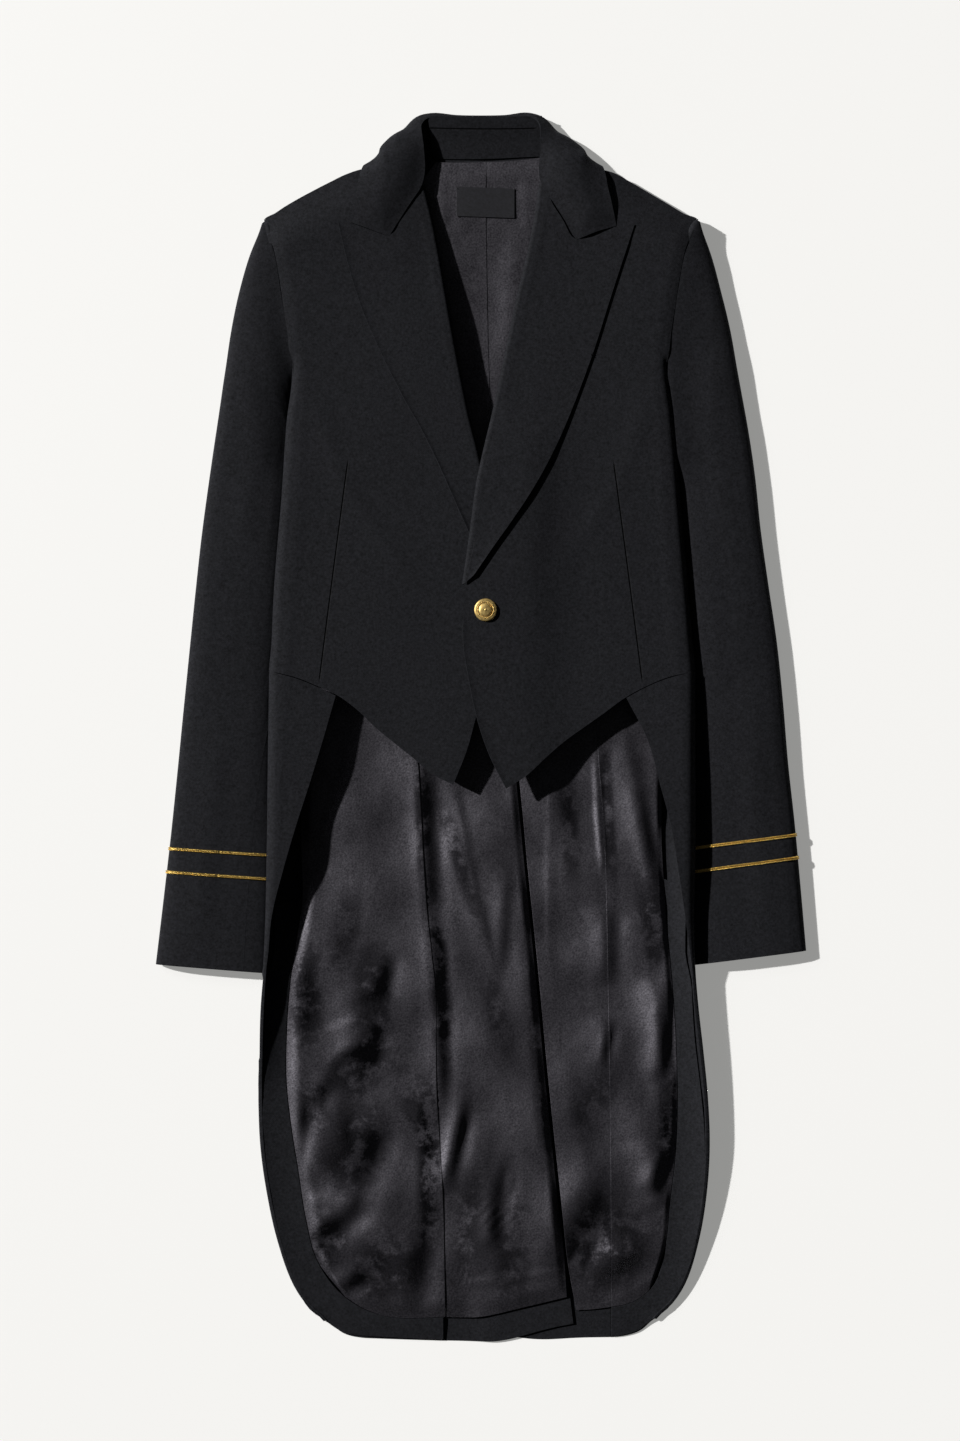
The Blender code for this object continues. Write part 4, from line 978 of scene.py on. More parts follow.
def add_front(side):
    grid = front_surface(side, 16, 9)
    # Above the break the edge stops inside the roll of the lapel.
    break_y = CUT[side]["roll"][-1][1]
    for row in grid:
        if row[-1].y > break_y - BREAK_RUN:
            row[-1] = row[-1] + (row[-2] - row[-1]).normalized() * FRONT_INSIDE_ROLL
    grid = pulled_back(grid, ("first", "top", "bottom"))
    add_sheet("front_" + side, grid, FRONT_WOOL, "wool", 1, (0.5, 0.8))


def lapel_surface(side, rows, columns):
    """The outer face of a lapel, from inside its roll to its free edge."""
    shape = CUT[side]
    places = [0.96 * v for v in shares(rows)]
    rolls = walk(shape["roll"], places)
    edges = walk(shape["lapel_outer"], places)
    bottom = [mix(rolls[-1], edges[-1], u) for u in shares(columns)]
    plan = fill(rolls, edges, walk(shape["lapel_top"], columns, straight), bottom)
    grid = []
    for row in plan:
        roll = row[0]
        away = (row[-1] - roll).normalized()
        width = (row[-1] - roll).length
        rise = front_top(side, roll.x, roll.y) + LAPEL_OVER_FRONT
        line = []
        for run, drop in LAPEL_ROLL:
            p = roll + away * min(run, 0.3 * width)
            line.append(Vector((p.x, p.y, rise - drop)))
        for c, p in enumerate(row[1:], 1):
            lift = LAPEL_OVER_FRONT + table_value(LAPEL_EDGE_LIFT, p.y) * (c / columns) ** 2
            line.append(Vector((p.x, p.y, front_top(side, p.x, p.y) + lift)))
        grid.append(line)
    return grid


def add_lapel(side):
    grid = pulled_back(lapel_surface(side, 12, 6), ("top",))
    add_sheet("lapel_" + side, grid, WOOL, "wool", 1, (0.5, 0.8))


def add_back(side):
    shape = CUT[side]
    outer = joined(walk(shape["back_armhole"], ARMHOLE_CELLS), walk(shape["back_seam"], SIDE_CELLS),
                   walk(shape["skirt_seam"], TAIL_CELLS))
    middle = CENTRE_BACK + (VENT_EDGE if side == "right" else UNDERLAP_EDGE)[1:]
    columns = 8
    neck, hem = walk(shape["back_neck"], columns), walk(shape["back_hem"], columns)
    plan = fill(outer, walk(middle, len(outer) - 1), neck, hem)
    grid = pulled_back(raised(plan, lambda x, y: back_height(side, x, y)), ("first", "last", "top"))
    add_sheet("back_" + side, grid, WOOL, "wool", -1)


def add_side(side):
    shape = CUT[side]
    inner = walk(shape["back_seam"], SIDE_CELLS)
    outer = walk(shape["side_outer"], SIDE_CELLS)
    plan = fill(outer, inner, walk([outer[0], inner[0]], 3), walk([outer[-1], inner[-1]], 3))
    grid = pulled_back(raised(plan, lambda x, y: 0.0), ("first", "last", "bottom"))
    add_sheet("side_" + side, grid, WOOL, "wool", -1)


def skirt_surface(side, rows, columns):
    """The outer face of the skirt, from the back seam across the floor, up its edge and back over it."""
    shape = CUT[side]
    inward = 1 if side == "right" else -1
    outer, inner = walk(shape["skirt_outer"], rows), walk(shape["skirt_seam"], rows)
    places = [1 - (1 - u) ** SKIRT_CROWDING for u in shares(columns)]
    top = walk([inner[0], outer[0]], places)
    plan = fill(inner, outer, top, walk(shape["skirt_hem"], places))
    front = shape["skirt_front"]
    low_y, high_y = front[-1][1], outer[0].y
    top_run = abs(front[0][0] - outer[0].x)
    hem = [(abs(p.x), p.y - WAIST_GAP) for p in walk(shape["front_hem"], 24)]
    grid = []
    for row in plan:
        line = [Vector((p.x, p.y, skirt_height(side, p.x, p.y))) for p in row]
        fold = line[-1]
        turned = min(max((fold.y - low_y) / (high_y - low_y), 0), 1)
        drop = (high_y - front[0][1]) * turned
        length = max(abs(x_on(front, fold.y - drop) - fold.x) if turned else 0, SKIRT_LIP)
        bend = min(length, SKIRT_BEND)
        high = table_value(SKIRT_TOP[side], fold.y)
        runs = [(bend * run, climb) for run, climb in SKIRT_FOLD]
        runs += [(mix(bend, length, share) + 0.4 * share, 1.0) for share in (0.25, 0.5, 0.75, 1.0)]
        for run, climb in runs:
            under = table_value(hem, abs(outer[0].x) - top_run * run / length)
            y = fold.y - turned * max(high_y - under, 0)
            line.append(Vector((fold.x + inward * run, y, mix(fold.z, high, climb))))
        grid.append(line)
    return grid


def add_skirt(side):
    grid = pulled_back(skirt_surface(side, TAIL_CELLS, SKIRT_COLUMNS), ("first", "top"))
    add_sheet("skirt_" + side, grid, WOOL, "wool", -1, (0.3, 0.2))


def add_facing(side):
    """The strip along the edge of the skirt, inside it."""
    shape = CUT[side]
    inner = joined(walk(shape["facing_line"], FACING_CELLS), walk(shape["lining_skirt_hem"], HEM_CELLS))
    begin = shape["facing_line"][0][1]
    down = [(x_on(shape["skirt_outer"], begin), begin)]
    down += [p for p in shape["skirt_outer"] if p[1] < begin - FACING_INSET]
    across = [down[-1]] + shape["skirt_hem"][-2::-1]
    centre = Vector((shape["skirt_seam"][0][0], -300))
    down, across = [[Vector(p) + (centre - Vector(p)).normalized() * FACING_INSET for p in run]
                    for run in (down, across)]
    across[-1].x = inner[-1].x
    outer = joined(walk(down, FACING_CELLS), walk(across, HEM_CELLS))
    plan = fill(outer, inner, walk([outer[0], inner[0]], 3), walk([outer[-1], inner[-1]], 3))
    grid = raised(plan, lambda x, y: skirt_height(side, x, y), LAYER + CURVE_CLEAR)
    grid = pulled_back(grid, ("last", "bottom"))
    add_sheet("facing_" + side, grid, FACING, "wool", -1)


def add_linings(side):
    shape = CUT[side]
    seam_line = [shape["lining_side"][-1]] + shape["skirt_seam"][1:-1] + [shape["lining_hem"][0]]
    seam = walk(seam_line, TAIL_CELLS)
    outer = joined(walk(shape["lining_side"], LINING_SIDE_CELLS), seam)
    beside = -LINING_FROM_VENT if side == "right" else LINING_FROM_VENT
    middle = CENTRE_BACK[:-1] + [(x + beside, y) for x, y in VENT_EDGE[:-1]]
    middle[0] = shape["lining_neck"][-1]
    middle.append(shape["lining_hem"][-1])
    columns = 7
    plan = fill(outer, walk(middle, len(outer) - 1), walk(shape["lining_neck"], columns),
                walk(shape["lining_hem"], columns))
    grid = raised(plan, lambda x, y: back_height(side, x, y, LINING_LEAD) + LAYER)
    add_sheet("lining_back_" + side, pulled_back(grid, ("first", "last")), LINING, "satin", -1)
    outer = joined(walk(shape["lining_inside"], TAIL_CELLS - FACING_CELLS),
                   walk(shape["facing_line"], FACING_CELLS))
    hem = walk(shape["lining_skirt_hem"], HEM_CELLS)
    plan = fill(outer, seam, walk([outer[0], seam[0]], HEM_CELLS), hem)
    grid = raised(plan, lambda x, y: skirt_height(side, x, y), LAYER + CURVE_CLEAR)
    grid = pulled_back(grid, ("first", "last", "bottom"), SEAM_GAP)
    add_sheet("lining_skirt_" + side, grid, LINING, "satin", -1)


def sleeve_section(side, out_y):
    """The sleeve's measures at this place of its outer fold."""
    rows = SLEEVE[side]
    for i in range(len(rows) - 1):
        if out_y >= rows[i + 1][1] or i == len(rows) - 2:
            return spline(rows, i + (rows[i][1] - out_y) / (rows[i][1] - rows[i + 1][1]))


def round_end(angle):
    """How far across the flat ring this angle lies, from -1 at the outer fold to 1 at the inner one."""
    turn = math.cos(math.radians(angle))
    return math.copysign(abs(turn) ** (SLEEVE_INNER_ROUND if turn > 0 else SLEEVE_OUTER_ROUND), turn)


def sleeve_point(section, angle, inset=0.0):
    """A point round the sleeve: 180 is the outer fold, 90 the top, 0 the inner fold, -90 underneath."""
    out_x, out_y, in_x, in_y, height, opened, seam = section
    opened = min(max(opened, 0), 1)
    across = Vector((in_x - out_x, in_y - out_y)).normalized() * inset
    outer = Vector((out_x, out_y)) + across
    inner = Vector((in_x, in_y)) - across * (1 - opened)
    end = max(mix(seam, 90, opened), 0) if opened else 0
    p = mix(outer, inner, (1 + round_end(angle)) / (1 + round_end(end)))
    rise = math.sin(math.radians(angle))
    flat = abs(rise) ** SLEEVE_FLATNESS
    if rise >= 0:
        return Vector((p.x, p.y, mix(SLEEVE_FOLD_HEIGHT, height - inset, flat)))
    return Vector((p.x, p.y, max(inset, SLEEVE_FOLD_HEIGHT * (1 - 1.2 * flat))))


def add_sleeve(side):
    table = SLEEVE[side]
    rows, columns = 14, 12
    for part, begin, middle in (("top", SLEEVE_OUTER_SEAM, 90), ("under", SLEEVE_OUTER_SEAM - 360, -90)):
        faces = []
        for inset in (0.0, WOOL):
            grid = []
            for share in shares(rows):
                section = sleeve_section(side, mix(table[0][1], table[-1][1], share ** 1.25))
                end = mix(section[6], middle, min(max(section[5], 0), 1))
                grid.append([sleeve_point(section, mix(begin, end, u), inset) for u in shares(columns)])
            faces.append(pulled_back(grid, ("first", "last")))
        add_wall(f"sleeve_{part}_{side}", *faces, "wool")


def collar_section(row):
    fold, rim, edge, turn = Vector(row[0:3]), Vector(row[3:6]), Vector(row[6:9]), row[9]
    heel = mix(rim, edge, mix(0.5, 0.15, turn))
    heel.z = mix(heel.z + 0.3, 0.0, turn)
    return fold, rim, heel, edge


def add_collar():
    rows, columns = 24, 7
    sections = [collar_section(row) for row in COLLAR]
    rails = [[section[i] for section in sections] for i in range(4)]
    grid = []
    for v in shares(rows):
        across = [spline(rail, v * (len(COLLAR) - 1)) for rail in rails]
        line = [spline(across, u * 3) for u in shares(columns)]
        for p in line:
            p.z = max(p.z, 0.0)
        grid.append(line)
    add_sheet("collar", grid, WOOL, "wool", -1, (0.5, 0.9))


def add_stand():
    low, high = walk(STAND_LOW, 8), walk(STAND_HIGH, 8)
    grid = [[mix(a, b, v) for a, b in zip(low, high)] for v in shares(3)]
    add_sheet("collar_stand", grid, WOOL, "wool", -1)


def add_label():
    width, height = LABEL_SIZE
    x, y = LABEL_CENTRE
    z = LAYER + LAYER + LINING + REST_GAP
    grid = [[Vector((x + width * (u - 0.5), y + height * (0.5 - v) - LABEL_TILT * (u - 0.5), z))
             for u in shares(4)] for v in shares(2)]
    add_sheet("label", grid, LABEL_THICK, "label_cloth", -1)


def blob(work, centre, along, beside, up, sides=8, rings=5):
    """A small smooth bead with these three half axes."""
    matrix = Matrix((along, beside, up)).transposed().to_4x4()
    matrix.translation = centre
    bmesh.ops.create_uvsphere(work, u_segments=sides, v_segments=rings, radius=1, matrix=matrix)


def mesh_of(work, name):
    for vertex in work.verts:
        vertex.co *= MM
    mesh = bpy.data.meshes.new(name)
    work.to_mesh(mesh)
    work.free()
    return mesh


def braid_place(side, y, angle):
    """A place on the sleeve for the braid, with the way along the braid, over it and off the cloth."""
    section = sleeve_section(side, y)
    p = sleeve_point(section, angle)
    p = Vector(detail("sleeve_top_" + side, np.array([[tuple(p)]]))[0, 0])
    along = (sleeve_point(section, angle - 1) - sleeve_point(section, angle + 1)).normalized()
    over = Vector((along.y, -along.x, 0)).normalized()
    normal = along.cross(over)
    return p, along, over, normal * math.copysign(1, normal.z)


def add_braids(side):
    """Flat bands with two rows of twisted gold strands on each."""
    hem = SLEEVE[side][-1][1]
    for name, above in BRAIDS_ABOVE_HEM.items():
        work = bmesh.new()
        angles = [mix(*BRAID_ANGLES, share) for share in shares(96)]
        reach = [0.0]
        for a, b in zip(angles, angles[1:]):
            run = braid_place(side, hem + above, b)[0] - braid_place(side, hem + above, a)[0]
            reach.append(reach[-1] + run.length)
        count = int(reach[-1] / STRAND_PITCH)
        rims = []
        for i in range(count + 1):
            angle = float(np.interp(i / count * reach[-1], reach, angles))
            centre, along, over, normal = braid_place(side, hem + above, angle)
            for row in (-1, 1):
                turn = row * math.radians(STRAND_TURN)
                lean = along * math.cos(turn) + over * math.sin(turn)
                beside = over * math.cos(turn) - along * math.sin(turn)
                place = centre + over * row * BRAID_WIDTH / 4 + normal * (BRAID_CLEAR + 0.55)
                axes = [way * size for way, size in zip((lean, beside, normal), STRAND_AXES)]
                blob(work, place, *axes, 6, 4)
            rims.append([work.verts.new(centre + over * across * BRAID_WIDTH / 2 + normal * height)
                         for across, height in BAND_SECTION])
        for first, second in zip(rims, rims[1:]):
            for i in range(4):
                work.faces.new((first[i - 1], first[i], second[i], second[i - 1]))
        work.faces.new(rims[0])
        work.faces.new(rims[-1][::-1])
        bmesh.ops.recalc_face_normals(work, faces=work.faces)
        add_object(f"braid_{name}_{side}", mesh_of(work, "braid"), "gold_braid")


def add_button():
    """A domed gilt button: turned dome and rim, a rope ring of beads and a plain rosette."""
    x, y = BUTTON_CENTRE
    base = Vector((x, y, front_top("left", x, y) + 2 * REST_GAP))
    work = bmesh.new()
    profile = stretched(np.array(BUTTON_PROFILE, float), 4)
    up = Vector((0, 0, 1))
    steps = 72
    rings = []
    ways = [Vector((math.cos(math.tau * i / steps), math.sin(math.tau * i / steps), 0)) for i in range(steps)]
    for share, z in profile[1:-1]:
        rings.append([work.verts.new(base + way * share * BUTTON_RADIUS + up * z) for way in ways])
    for lower, upper in zip(rings, rings[1:]):
        for i in range(steps):
            work.faces.new((lower[i - 1], lower[i], upper[i], upper[i - 1]))
    work.faces.new(rings[0])
    work.faces.new(rings[-1])
    for i in range(ROPE_BEADS):
        angle = math.tau * i / ROPE_BEADS
        out = Vector((math.cos(angle), math.sin(angle), 0))
        lean = (up.cross(out) + out * 0.7).normalized()
        along, beside, high = ROPE_AXES
        blob(work, base + out * ROPE_RADIUS + up * 3.5, lean * along, lean.cross(up) * beside, up * high)
    for i in range(ROSETTE_PETALS):
        angle = math.tau * i / ROSETTE_PETALS
        out = Vector((math.cos(angle), math.sin(angle), -0.12))
        beside = Vector((-math.sin(angle), math.cos(angle), 0))
        long_way, wide, high = PETAL_AXES
        place = base + out * ROSETTE_RADIUS + up * 4.35
        blob(work, place, out * long_way, beside * wide, Vector((0.05, 0, high)), 12, 7)
    wide, deep, high = CENTRE_AXES
    blob(work, base + up * 4.45, Vector((wide, 0, 0)), Vector((0, deep, 0)), up * high, 16, 9)
    bmesh.ops.recalc_face_normals(work, faces=work.faces)
    add_object("button", mesh_of(work, "button"), "gold_metal")


def add_thread(name, points, radius, parent, material):
    """A round thread through the points, which goes with the piece that it is sewn to."""
    curve = bpy.data.curves.new(name, "CURVE")
    curve.dimensions = "3D"
    curve.bevel_depth = radius * MM
    curve.bevel_resolution = 2
    curve.use_fill_caps = True
    line = curve.splines.new("POLY")
    line.points.add(len(points) - 1)
    for place, p in zip(line.points, points):
        place.co = (p[0] * MM, p[1] * MM, p[2] * MM, 1)
    curve.materials.append(FINISHES[material])
    made = bpy.data.objects.new(name, curve)
    bpy.context.scene.collection.objects.link(made)
    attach(made, "root")
    SEWN.setdefault(parent, []).append(made)


def on_front(side, x, y, above):
    """A place this far above the outer face of the front."""
    z = front_top(side, x, y)
    p = detail("front_" + side, np.array([[[x, y, z]]], float))[0, 0]
    return (float(p[0]), float(p[1]), float(p[2]) + above)


def add_sewing():
    """The buttonhole's thread, a thread tack on the lapel's edge and the stitches that hold the label."""
    x, y = BUTTON_CENTRE
    bar = [on_front("left", x + 10.4 + 11 * u, y + 0.3 * math.sin(9 * u), 0.12) for u in shares(22)]
    add_thread("buttonhole_thread", bar, 0.32, "front_left", "wool")
    edge = x_on(CUT["left"]["lapel_outer"], TACK_HEIGHT)
    tack = [on_front("left", edge + 0.9 * math.cos(a), TACK_HEIGHT + 1.3 * math.sin(a),
                     3.2 + 0.5 * math.sin(a / 2)) for a in np.linspace(0.3, 5.6, 12)]
    add_thread("lapel_tack", tack, 0.18, "lapel_left", "wool")
    width, height = LABEL_SIZE
    top = LAYER + LAYER + LINING + REST_GAP + LABEL_THICK
    for i, (u, v) in enumerate(((-1, 1), (1, 1), (-1, -1), (1, -1))):
        cx, cy = LABEL_CENTRE[0] + u * (width / 2 - 1), LABEL_CENTRE[1] + v * (height / 2 - 1.2)
        z = top + LABEL_RISE + float(satin_lift(np.array([cx]), np.array([cy]))[0])
        run = [(cx + 1.6 * u * t, cy + 0.7 * v * t, z + 0.25 * math.sin(math.pi * t)) for t in shares(6)]
        add_thread(f"label_stitch_{i}", run, 0.16, "label", "satin")


def add_armhole_seams():
    """The seam allowance along the armhole, which joins the sleeve's head to the front."""
    for side in CUT:
        inward = 1 if side == "right" else -1
        line = walk(CUT[side]["armhole_side"], [ARMHOLE_SHOWN * v for v in shares(80)])
        halves = []
        for name, bend in (("sleeve_top_", -inward), ("front_", inward)):
            row = [[p.x + bend * max(1.6, min(3.4, 0.9 + 0.45 * (446 - p.y)) * (p.y > 412)), p.y,
                    front_point(side, p.x, p.y, 0.9).z] for p in line]
            halves.append(detail(name + side, np.array([row]))[0])
            sink, end_sink = ARMHOLE_SINK
            halves[-1][:, 2] -= sink + end_sink * eased(ramp(halves[-1][:, 1], 338, 318))
        mesh = sheet_mesh("armhole_seam", [np.array(halves)])
        mesh.materials.append(FINISHES["wool"])
        mesh.shade_smooth()
        made = bpy.data.objects.new("armhole_seam_" + side, mesh)
        bpy.context.scene.collection.objects.link(made)
        wall = made.modifiers.new("wall", "SOLIDIFY")
        wall.thickness = 0.3 * MM
        wall.offset = 0
        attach(made, "root")
        SEWN.setdefault("front_" + side, []).append(made)


def sheets():
    """Gathers what is sewn on each cut of cloth; nothing is done with it."""
    for name, (width, length, area) in CUT_SIZES.items():
        side = name.rsplit("_", 1)[-1]
        sewn = SEWN.get(name, [])
        if name.startswith("sleeve_top"):
            sewn = [PIECES[f"braid_{place}_{side}"] for place in BRAIDS_ABOVE_HEM]
        if name == "front_left":
            sewn = sewn + [PIECES["button"]]


class Nodes:
    """Adds nodes to a tree and joins them."""

    def __init__(self, tree):
        self.tree = tree

    def add(self, kind, inputs=None, **settings):
        made = self.tree.nodes.new(kind)
        for key, value in settings.items():
            setattr(made, key, value)
        for key, value in (inputs or {}).items():
            if isinstance(value, bpy.types.NodeSocket):
                self.tree.links.new(value, made.inputs[key])
            else:
                made.inputs[key].default_value = value
        return made

    def math(self, operation, *values, clamp=False):
        made = self.add("ShaderNodeMath", dict(enumerate(values)), operation=operation, use_clamp=clamp)
        return made.outputs[0]

    def noise(self, where, scale, detail_steps=2.0, roughness=0.5):
        inputs = {"Vector": where, "Scale": scale, "Detail": detail_steps, "Roughness": roughness}
        return self.add("ShaderNodeTexNoise", inputs).outputs["Fac"]

    def here(self):
        """The object's own coordinates."""
        return self.add("ShaderNodeTexCoord").outputs["Object"]

    def spread(self, value, start, end, low, high):
        """The value's range from start to end laid out from low to high."""
        inputs = {"Value": value, "From Min": start, "From Max": end, "To Min": low, "To Max": high}
        return self.add("ShaderNodeMapRange", inputs).outputs[0]

    def scaled(self, vector, scale):
        inputs = {0: vector, "Scale": scale}
        return self.add("ShaderNodeVectorMath", inputs, operation="SCALE").outputs[0]

    def bump(self, height, strength, distance, over=None, invert=False):
        """Normals for this height, on those of the bump that it lies over."""
        inputs = {"Height": height, "Strength": strength, "Distance": distance}
        if over is not None:
            inputs["Normal"] = over
        return self.add("ShaderNodeBump", inputs, invert=invert).outputs[0]


def new_group(name, outputs, inputs=()):
    tree = bpy.data.node_groups.new(name, "ShaderNodeTree")
    for socket in inputs:
        tree.interface.new_socket(socket, in_out="INPUT", socket_type="NodeSocketFloat")
    for socket in outputs:
        tree.interface.new_socket(socket, in_out="OUTPUT", socket_type="NodeSocketFloat")
    return tree, Nodes(tree)


def weave_group():
    """Twill ribs, the nap over them and slow mottling, from the object's own coordinates."""
    tree, nodes = new_group("weave", ("Height", "Tone"))
    where = nodes.here()
    split = nodes.add("ShaderNodeSeparateXYZ", {0: where})
    slant = nodes.math("ADD", split.outputs[0], nodes.math("MULTIPLY", split.outputs[1], 0.72))
    counter = nodes.math("SUBTRACT", split.outputs[1], split.outputs[0])
    rib = nodes.math("SINE", nodes.math("MULTIPLY", slant, 5200.0))
    weft = nodes.math("SINE", nodes.math("MULTIPLY", counter, 3700.0))
    nap = nodes.noise(where, NAP, 3.0, 0.65)
    coarse = nodes.noise(where, COARSE_NAP, 2.0, 0.6)
    ribs = nodes.math("ADD", nodes.math("MULTIPLY", rib, 0.12), nodes.math("MULTIPLY", weft, 0.08))
    height = nodes.math("ADD", nodes.math("ADD", ribs, nap), nodes.math("MULTIPLY", coarse, 0.5))
    tone = nodes.math("ADD", nodes.math("MULTIPLY", nap, 0.75), nodes.math("MULTIPLY", coarse, 0.45))
    nodes.add("NodeGroupOutput", {"Height": height, "Tone": tone})
    return tree


def line_group():
    """1 on a curved line that runs along one coordinate, 0 away from it."""
    inputs = ("Across", "Along", "Start", "End", "At_start", "Slope", "Bend", "Width")
    tree, nodes = new_group("line", ("Mask",), inputs)
    given = nodes.add("NodeGroupInput").outputs
    run = nodes.math("DIVIDE", nodes.math("SUBTRACT", given["Along"], given["Start"]),
                     nodes.math("SUBTRACT", given["End"], given["Start"]))
    place = nodes.math("ADD", given["At_start"], nodes.math("MULTIPLY", given["Slope"], run))
    bend = nodes.math("MULTIPLY", given["Bend"], nodes.math("MULTIPLY", run, run))
    off = nodes.math("ABSOLUTE", nodes.math("SUBTRACT", given["Across"], nodes.math("ADD", place, bend)))
    near = nodes.math("SUBTRACT", 1.0, nodes.math("DIVIDE", off, given["Width"]), clamp=True)
    begun = nodes.math("MULTIPLY", run, 30.0, clamp=True)
    ending = nodes.math("MULTIPLY", nodes.math("SUBTRACT", 1.0, run), 30.0, clamp=True)
    mask = nodes.math("MULTIPLY", near, nodes.math("MULTIPLY", begun, ending))
    nodes.add("NodeGroupOutput", {"Mask": mask})
    return tree


def new_material(name, look):
    """A material whose shader has these constants."""
    material = bpy.data.materials.new(name)
    material.use_nodes = True
    tree = material.node_tree
    shader = tree.nodes["Principled BSDF"]
    for socket, value in look.items():
        shader.inputs[socket].default_value = value
    return material, Nodes(tree), shader


def tinted(nodes, tone, low, high, colour):
    """The colour, darker or lighter with the tone."""
    return nodes.scaled(colour, nodes.spread(tone, 0.3, 0.9, low, high))


def wool_material(weave, line):
    material, nodes, shader = new_material("wool_cloth", WOOL_LOOK)
    weave = nodes.add("ShaderNodeGroup", node_tree=weave)
    x, y, _ = nodes.add("ShaderNodeSeparateXYZ", {0: nodes.here()}).outputs
    lines = []
    for across, along, place in ((nodes.math("ABSOLUTE", x), y, DART), (y, x, STAND_SEAM)):
        inputs = {"Across": across, "Along": along, **place}
        lines.append(nodes.add("ShaderNodeGroup", inputs, node_tree=line).outputs[0])
    # Along the darts and the stand's seam the wool's colour is darkened: painted shade of the seam's groove,
    # on top of the groove's bump
    seam = nodes.math("ADD", *lines, clamp=True)
    tone = nodes.math("SUBTRACT", weave.outputs["Tone"], nodes.math("MULTIPLY", seam, 0.45))
    nodes.tree.links.new(tinted(nodes, tone, 0.2, 2.1, WOOL_TINT), shader.inputs["Base Color"])
    nap = nodes.bump(weave.outputs["Height"], 0.5, 0.00022)
    nodes.tree.links.new(nodes.bump(seam, 1.0, 0.0006, nap, invert=True), shader.inputs["Normal"])
    return material


def satin_material():
    """A glossy cloth whose threads lean from the light in dark patches with broken edges."""
    material, nodes, shader = new_material("satin_cloth", SATIN_LOOK)
    where = nodes.here()
    long_way = nodes.add("ShaderNodeMapping", {"Vector": where, "Scale": (1.0, 0.7, 1.0)}).outputs[0]
    soft, small = nodes.noise(long_way, SATIN_SLOW), nodes.noise(long_way, SATIN_QUICK)
    thread = nodes.noise(where, SATIN_THREAD, 2.0, 0.6)
    cloudy = nodes.noise(where, SATIN_CLOUDS, 8.0, 0.68)
    mottled = nodes.math("ADD", nodes.math("MULTIPLY", cloudy, 0.42), nodes.math("MULTIPLY", thread, 0.8))
    nodes.tree.links.new(tinted(nodes, mottled, 0.1, 1.6, SATIN_GLOSS), shader.inputs["Specular Tint"])
    lean = nodes.add("ShaderNodeAttribute", attribute_name="lean").outputs["Vector"]
    lean = nodes.scaled(lean, nodes.spread(cloudy, 0.43, 0.53, 0.15, 1.35))
    normal = nodes.add("ShaderNodeNewGeometry").outputs["Normal"]
    normal = nodes.add("ShaderNodeVectorMath", {0: normal, 1: lean}, operation="ADD").outputs[0]
    for height, strength, distance in ((soft, 0.5, 0.004), (small, 0.2, 0.0009), (thread, 0.45, 0.0003)):
        normal = nodes.bump(height, strength, distance, normal)
    nodes.tree.links.new(normal, shader.inputs["Normal"])
    return material


def label_material(weave):
    material, nodes, shader = new_material("label_weave", LABEL_LOOK)
    tone = nodes.add("ShaderNodeGroup", node_tree=weave).outputs["Tone"]
    nodes.tree.links.new(tinted(nodes, tone, 0.3, 1.9, LABEL_TINT), shader.inputs["Base Color"])
    return material


def gold_material(name, colour, look, spots):
    material, nodes, shader = new_material(name, look)
    # On the braid the bright speckles of this noise are painted glints of its twisted gold threads; on the
    # button the noise is wear
    wear_and_glints = nodes.noise(nodes.here(), spots, 3.0, 0.6)
    nodes.tree.links.new(tinted(nodes, wear_and_glints, 0.45, 1.6, colour), shader.inputs["Base Color"])
    nodes.tree.links.new(nodes.bump(wear_and_glints, 0.2, 0.0001), shader.inputs["Normal"])
    return material


def add_light(name, kind, energy, place, aim, **settings):
    light = bpy.data.lights.new(name, kind)
    light.energy = energy
    for key, value in settings.items():
        setattr(light, key, value)
    made = bpy.data.objects.new(name, light)
    made.location = place
    made.rotation_euler = (Vector(aim) - Vector(place)).to_track_quat("-Z", "Y").to_euler()
    bpy.context.scene.collection.objects.link(made)


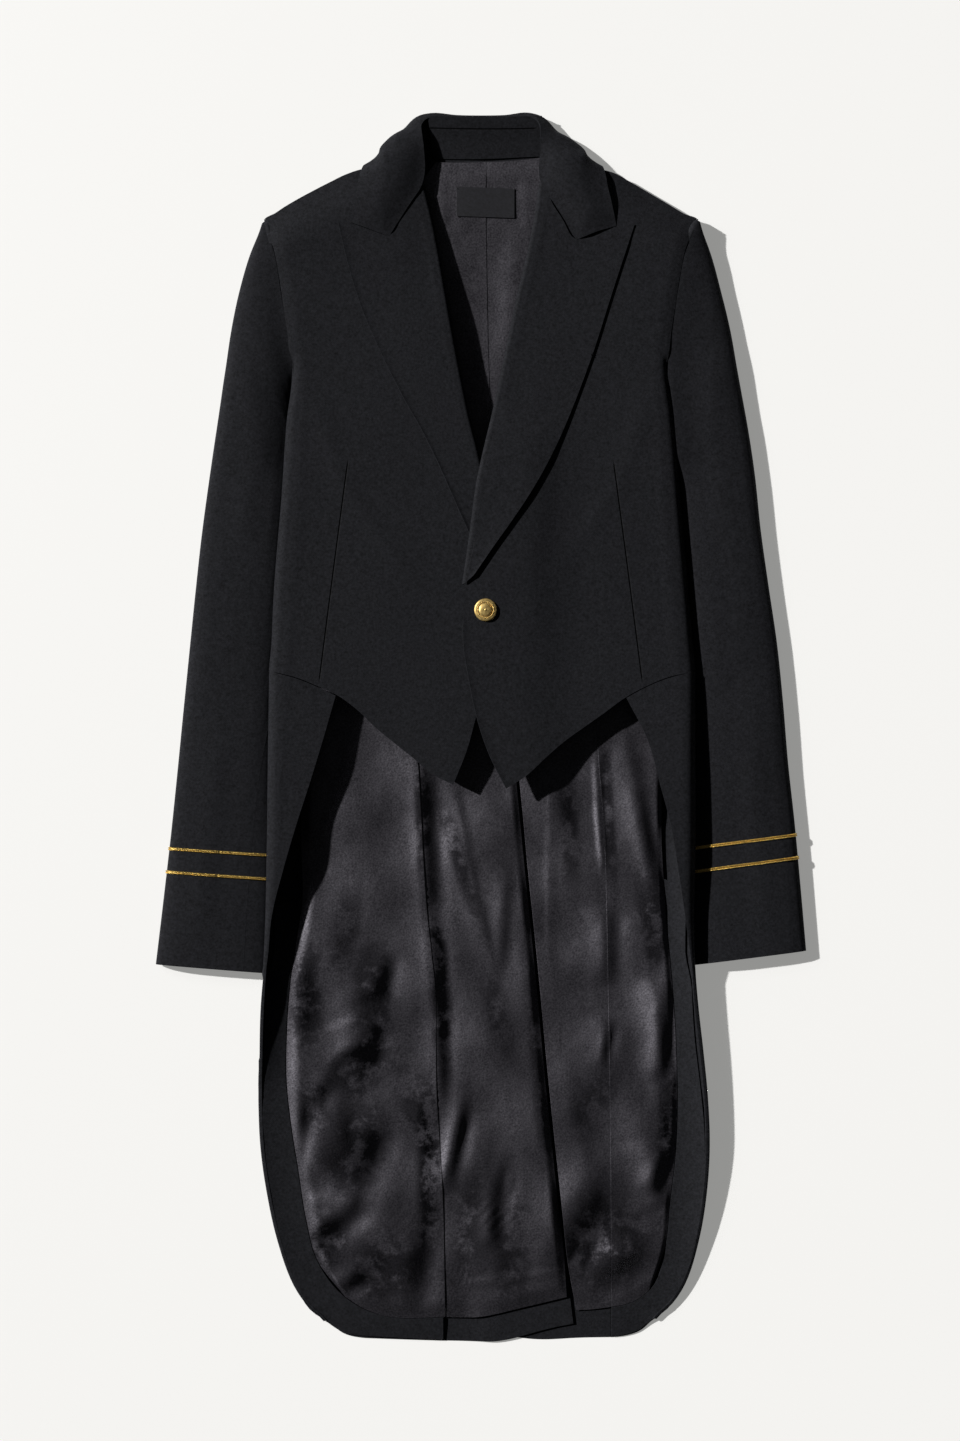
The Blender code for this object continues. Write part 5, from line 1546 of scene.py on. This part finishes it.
def set_stage():
    mesh = bpy.data.meshes.new("floor")
    signs = ((-1, -1), (1, -1), (1, 1), (-1, 1))
    corners = [(x * FLOOR_HALF, y * FLOOR_HALF, -FLOOR_DEPTH) for x, y in signs]
    mesh.from_pydata(corners, [], [(0, 1, 2, 3)])
    mesh.materials.append(new_material("floor", FLOOR_LOOK)[0])
    ground = bpy.data.objects.new("floor", mesh)
    bpy.context.scene.collection.objects.link(ground)
    world = bpy.data.worlds.new("studio")
    world.use_nodes = True
    sky = world.node_tree.nodes["Background"].inputs
    sky["Color"].default_value = (0.97, 0.985, 1.0, 1)
    sky["Strength"].default_value = SKY_POWER
    bpy.context.scene.world = world
    turn, rise = math.radians(SUN_TURN), math.radians(SUN_RISE)
    sun = Vector((-math.cos(rise) * math.cos(turn), math.cos(rise) * math.sin(turn), math.sin(rise))) * 3
    add_light("key", "SUN", SUN_POWER, sun, (0, 0, 0), angle=math.radians(1.6), color=(1.0, 0.985, 0.96))
    add_light("soft", "AREA", SOFT_POWER, SOFT_PLACE, (0, 0, 0), size=0.6)


def set_camera():
    scene = bpy.context.scene
    data = bpy.data.cameras.new("camera")
    camera = bpy.data.objects.new("camera", data)
    camera.location = CAMERA_PLACE
    data.sensor_width = 36.0
    data.lens = CAMERA_LENS
    data.clip_end = 20
    scene.collection.objects.link(camera)
    scene.camera = camera
    scene.render.resolution_x, scene.render.resolution_y = 960, 1441
    scene.view_settings.view_transform = "Standard"
    scene.view_settings.look = "None"


PIECES = {}
SEWN = {}
LINE = line_group()
WEAVE = weave_group()
FINISHES = {
    "wool": wool_material(WEAVE, LINE),
    "satin": satin_material(),
    "label_cloth": label_material(WEAVE),
    "gold_braid": gold_material("braid_gold", BRAID_GOLD, BRAID_LOOK, BRAID_SPOTS),
    "gold_metal": gold_material("button_gold", BUTTON_GOLD, BUTTON_LOOK, BUTTON_SPOTS),
}
for wearers in CUT:
    add_back(wearers)
    add_side(wearers)
    add_skirt(wearers)
    add_facing(wearers)
    add_linings(wearers)
    add_front(wearers)
    add_lapel(wearers)
    add_sleeve(wearers)
    add_braids(wearers)
add_collar()
add_stand()
add_label()
add_button()
add_sewing()
add_armhole_seams()
sheets()
set_stage()
set_camera()
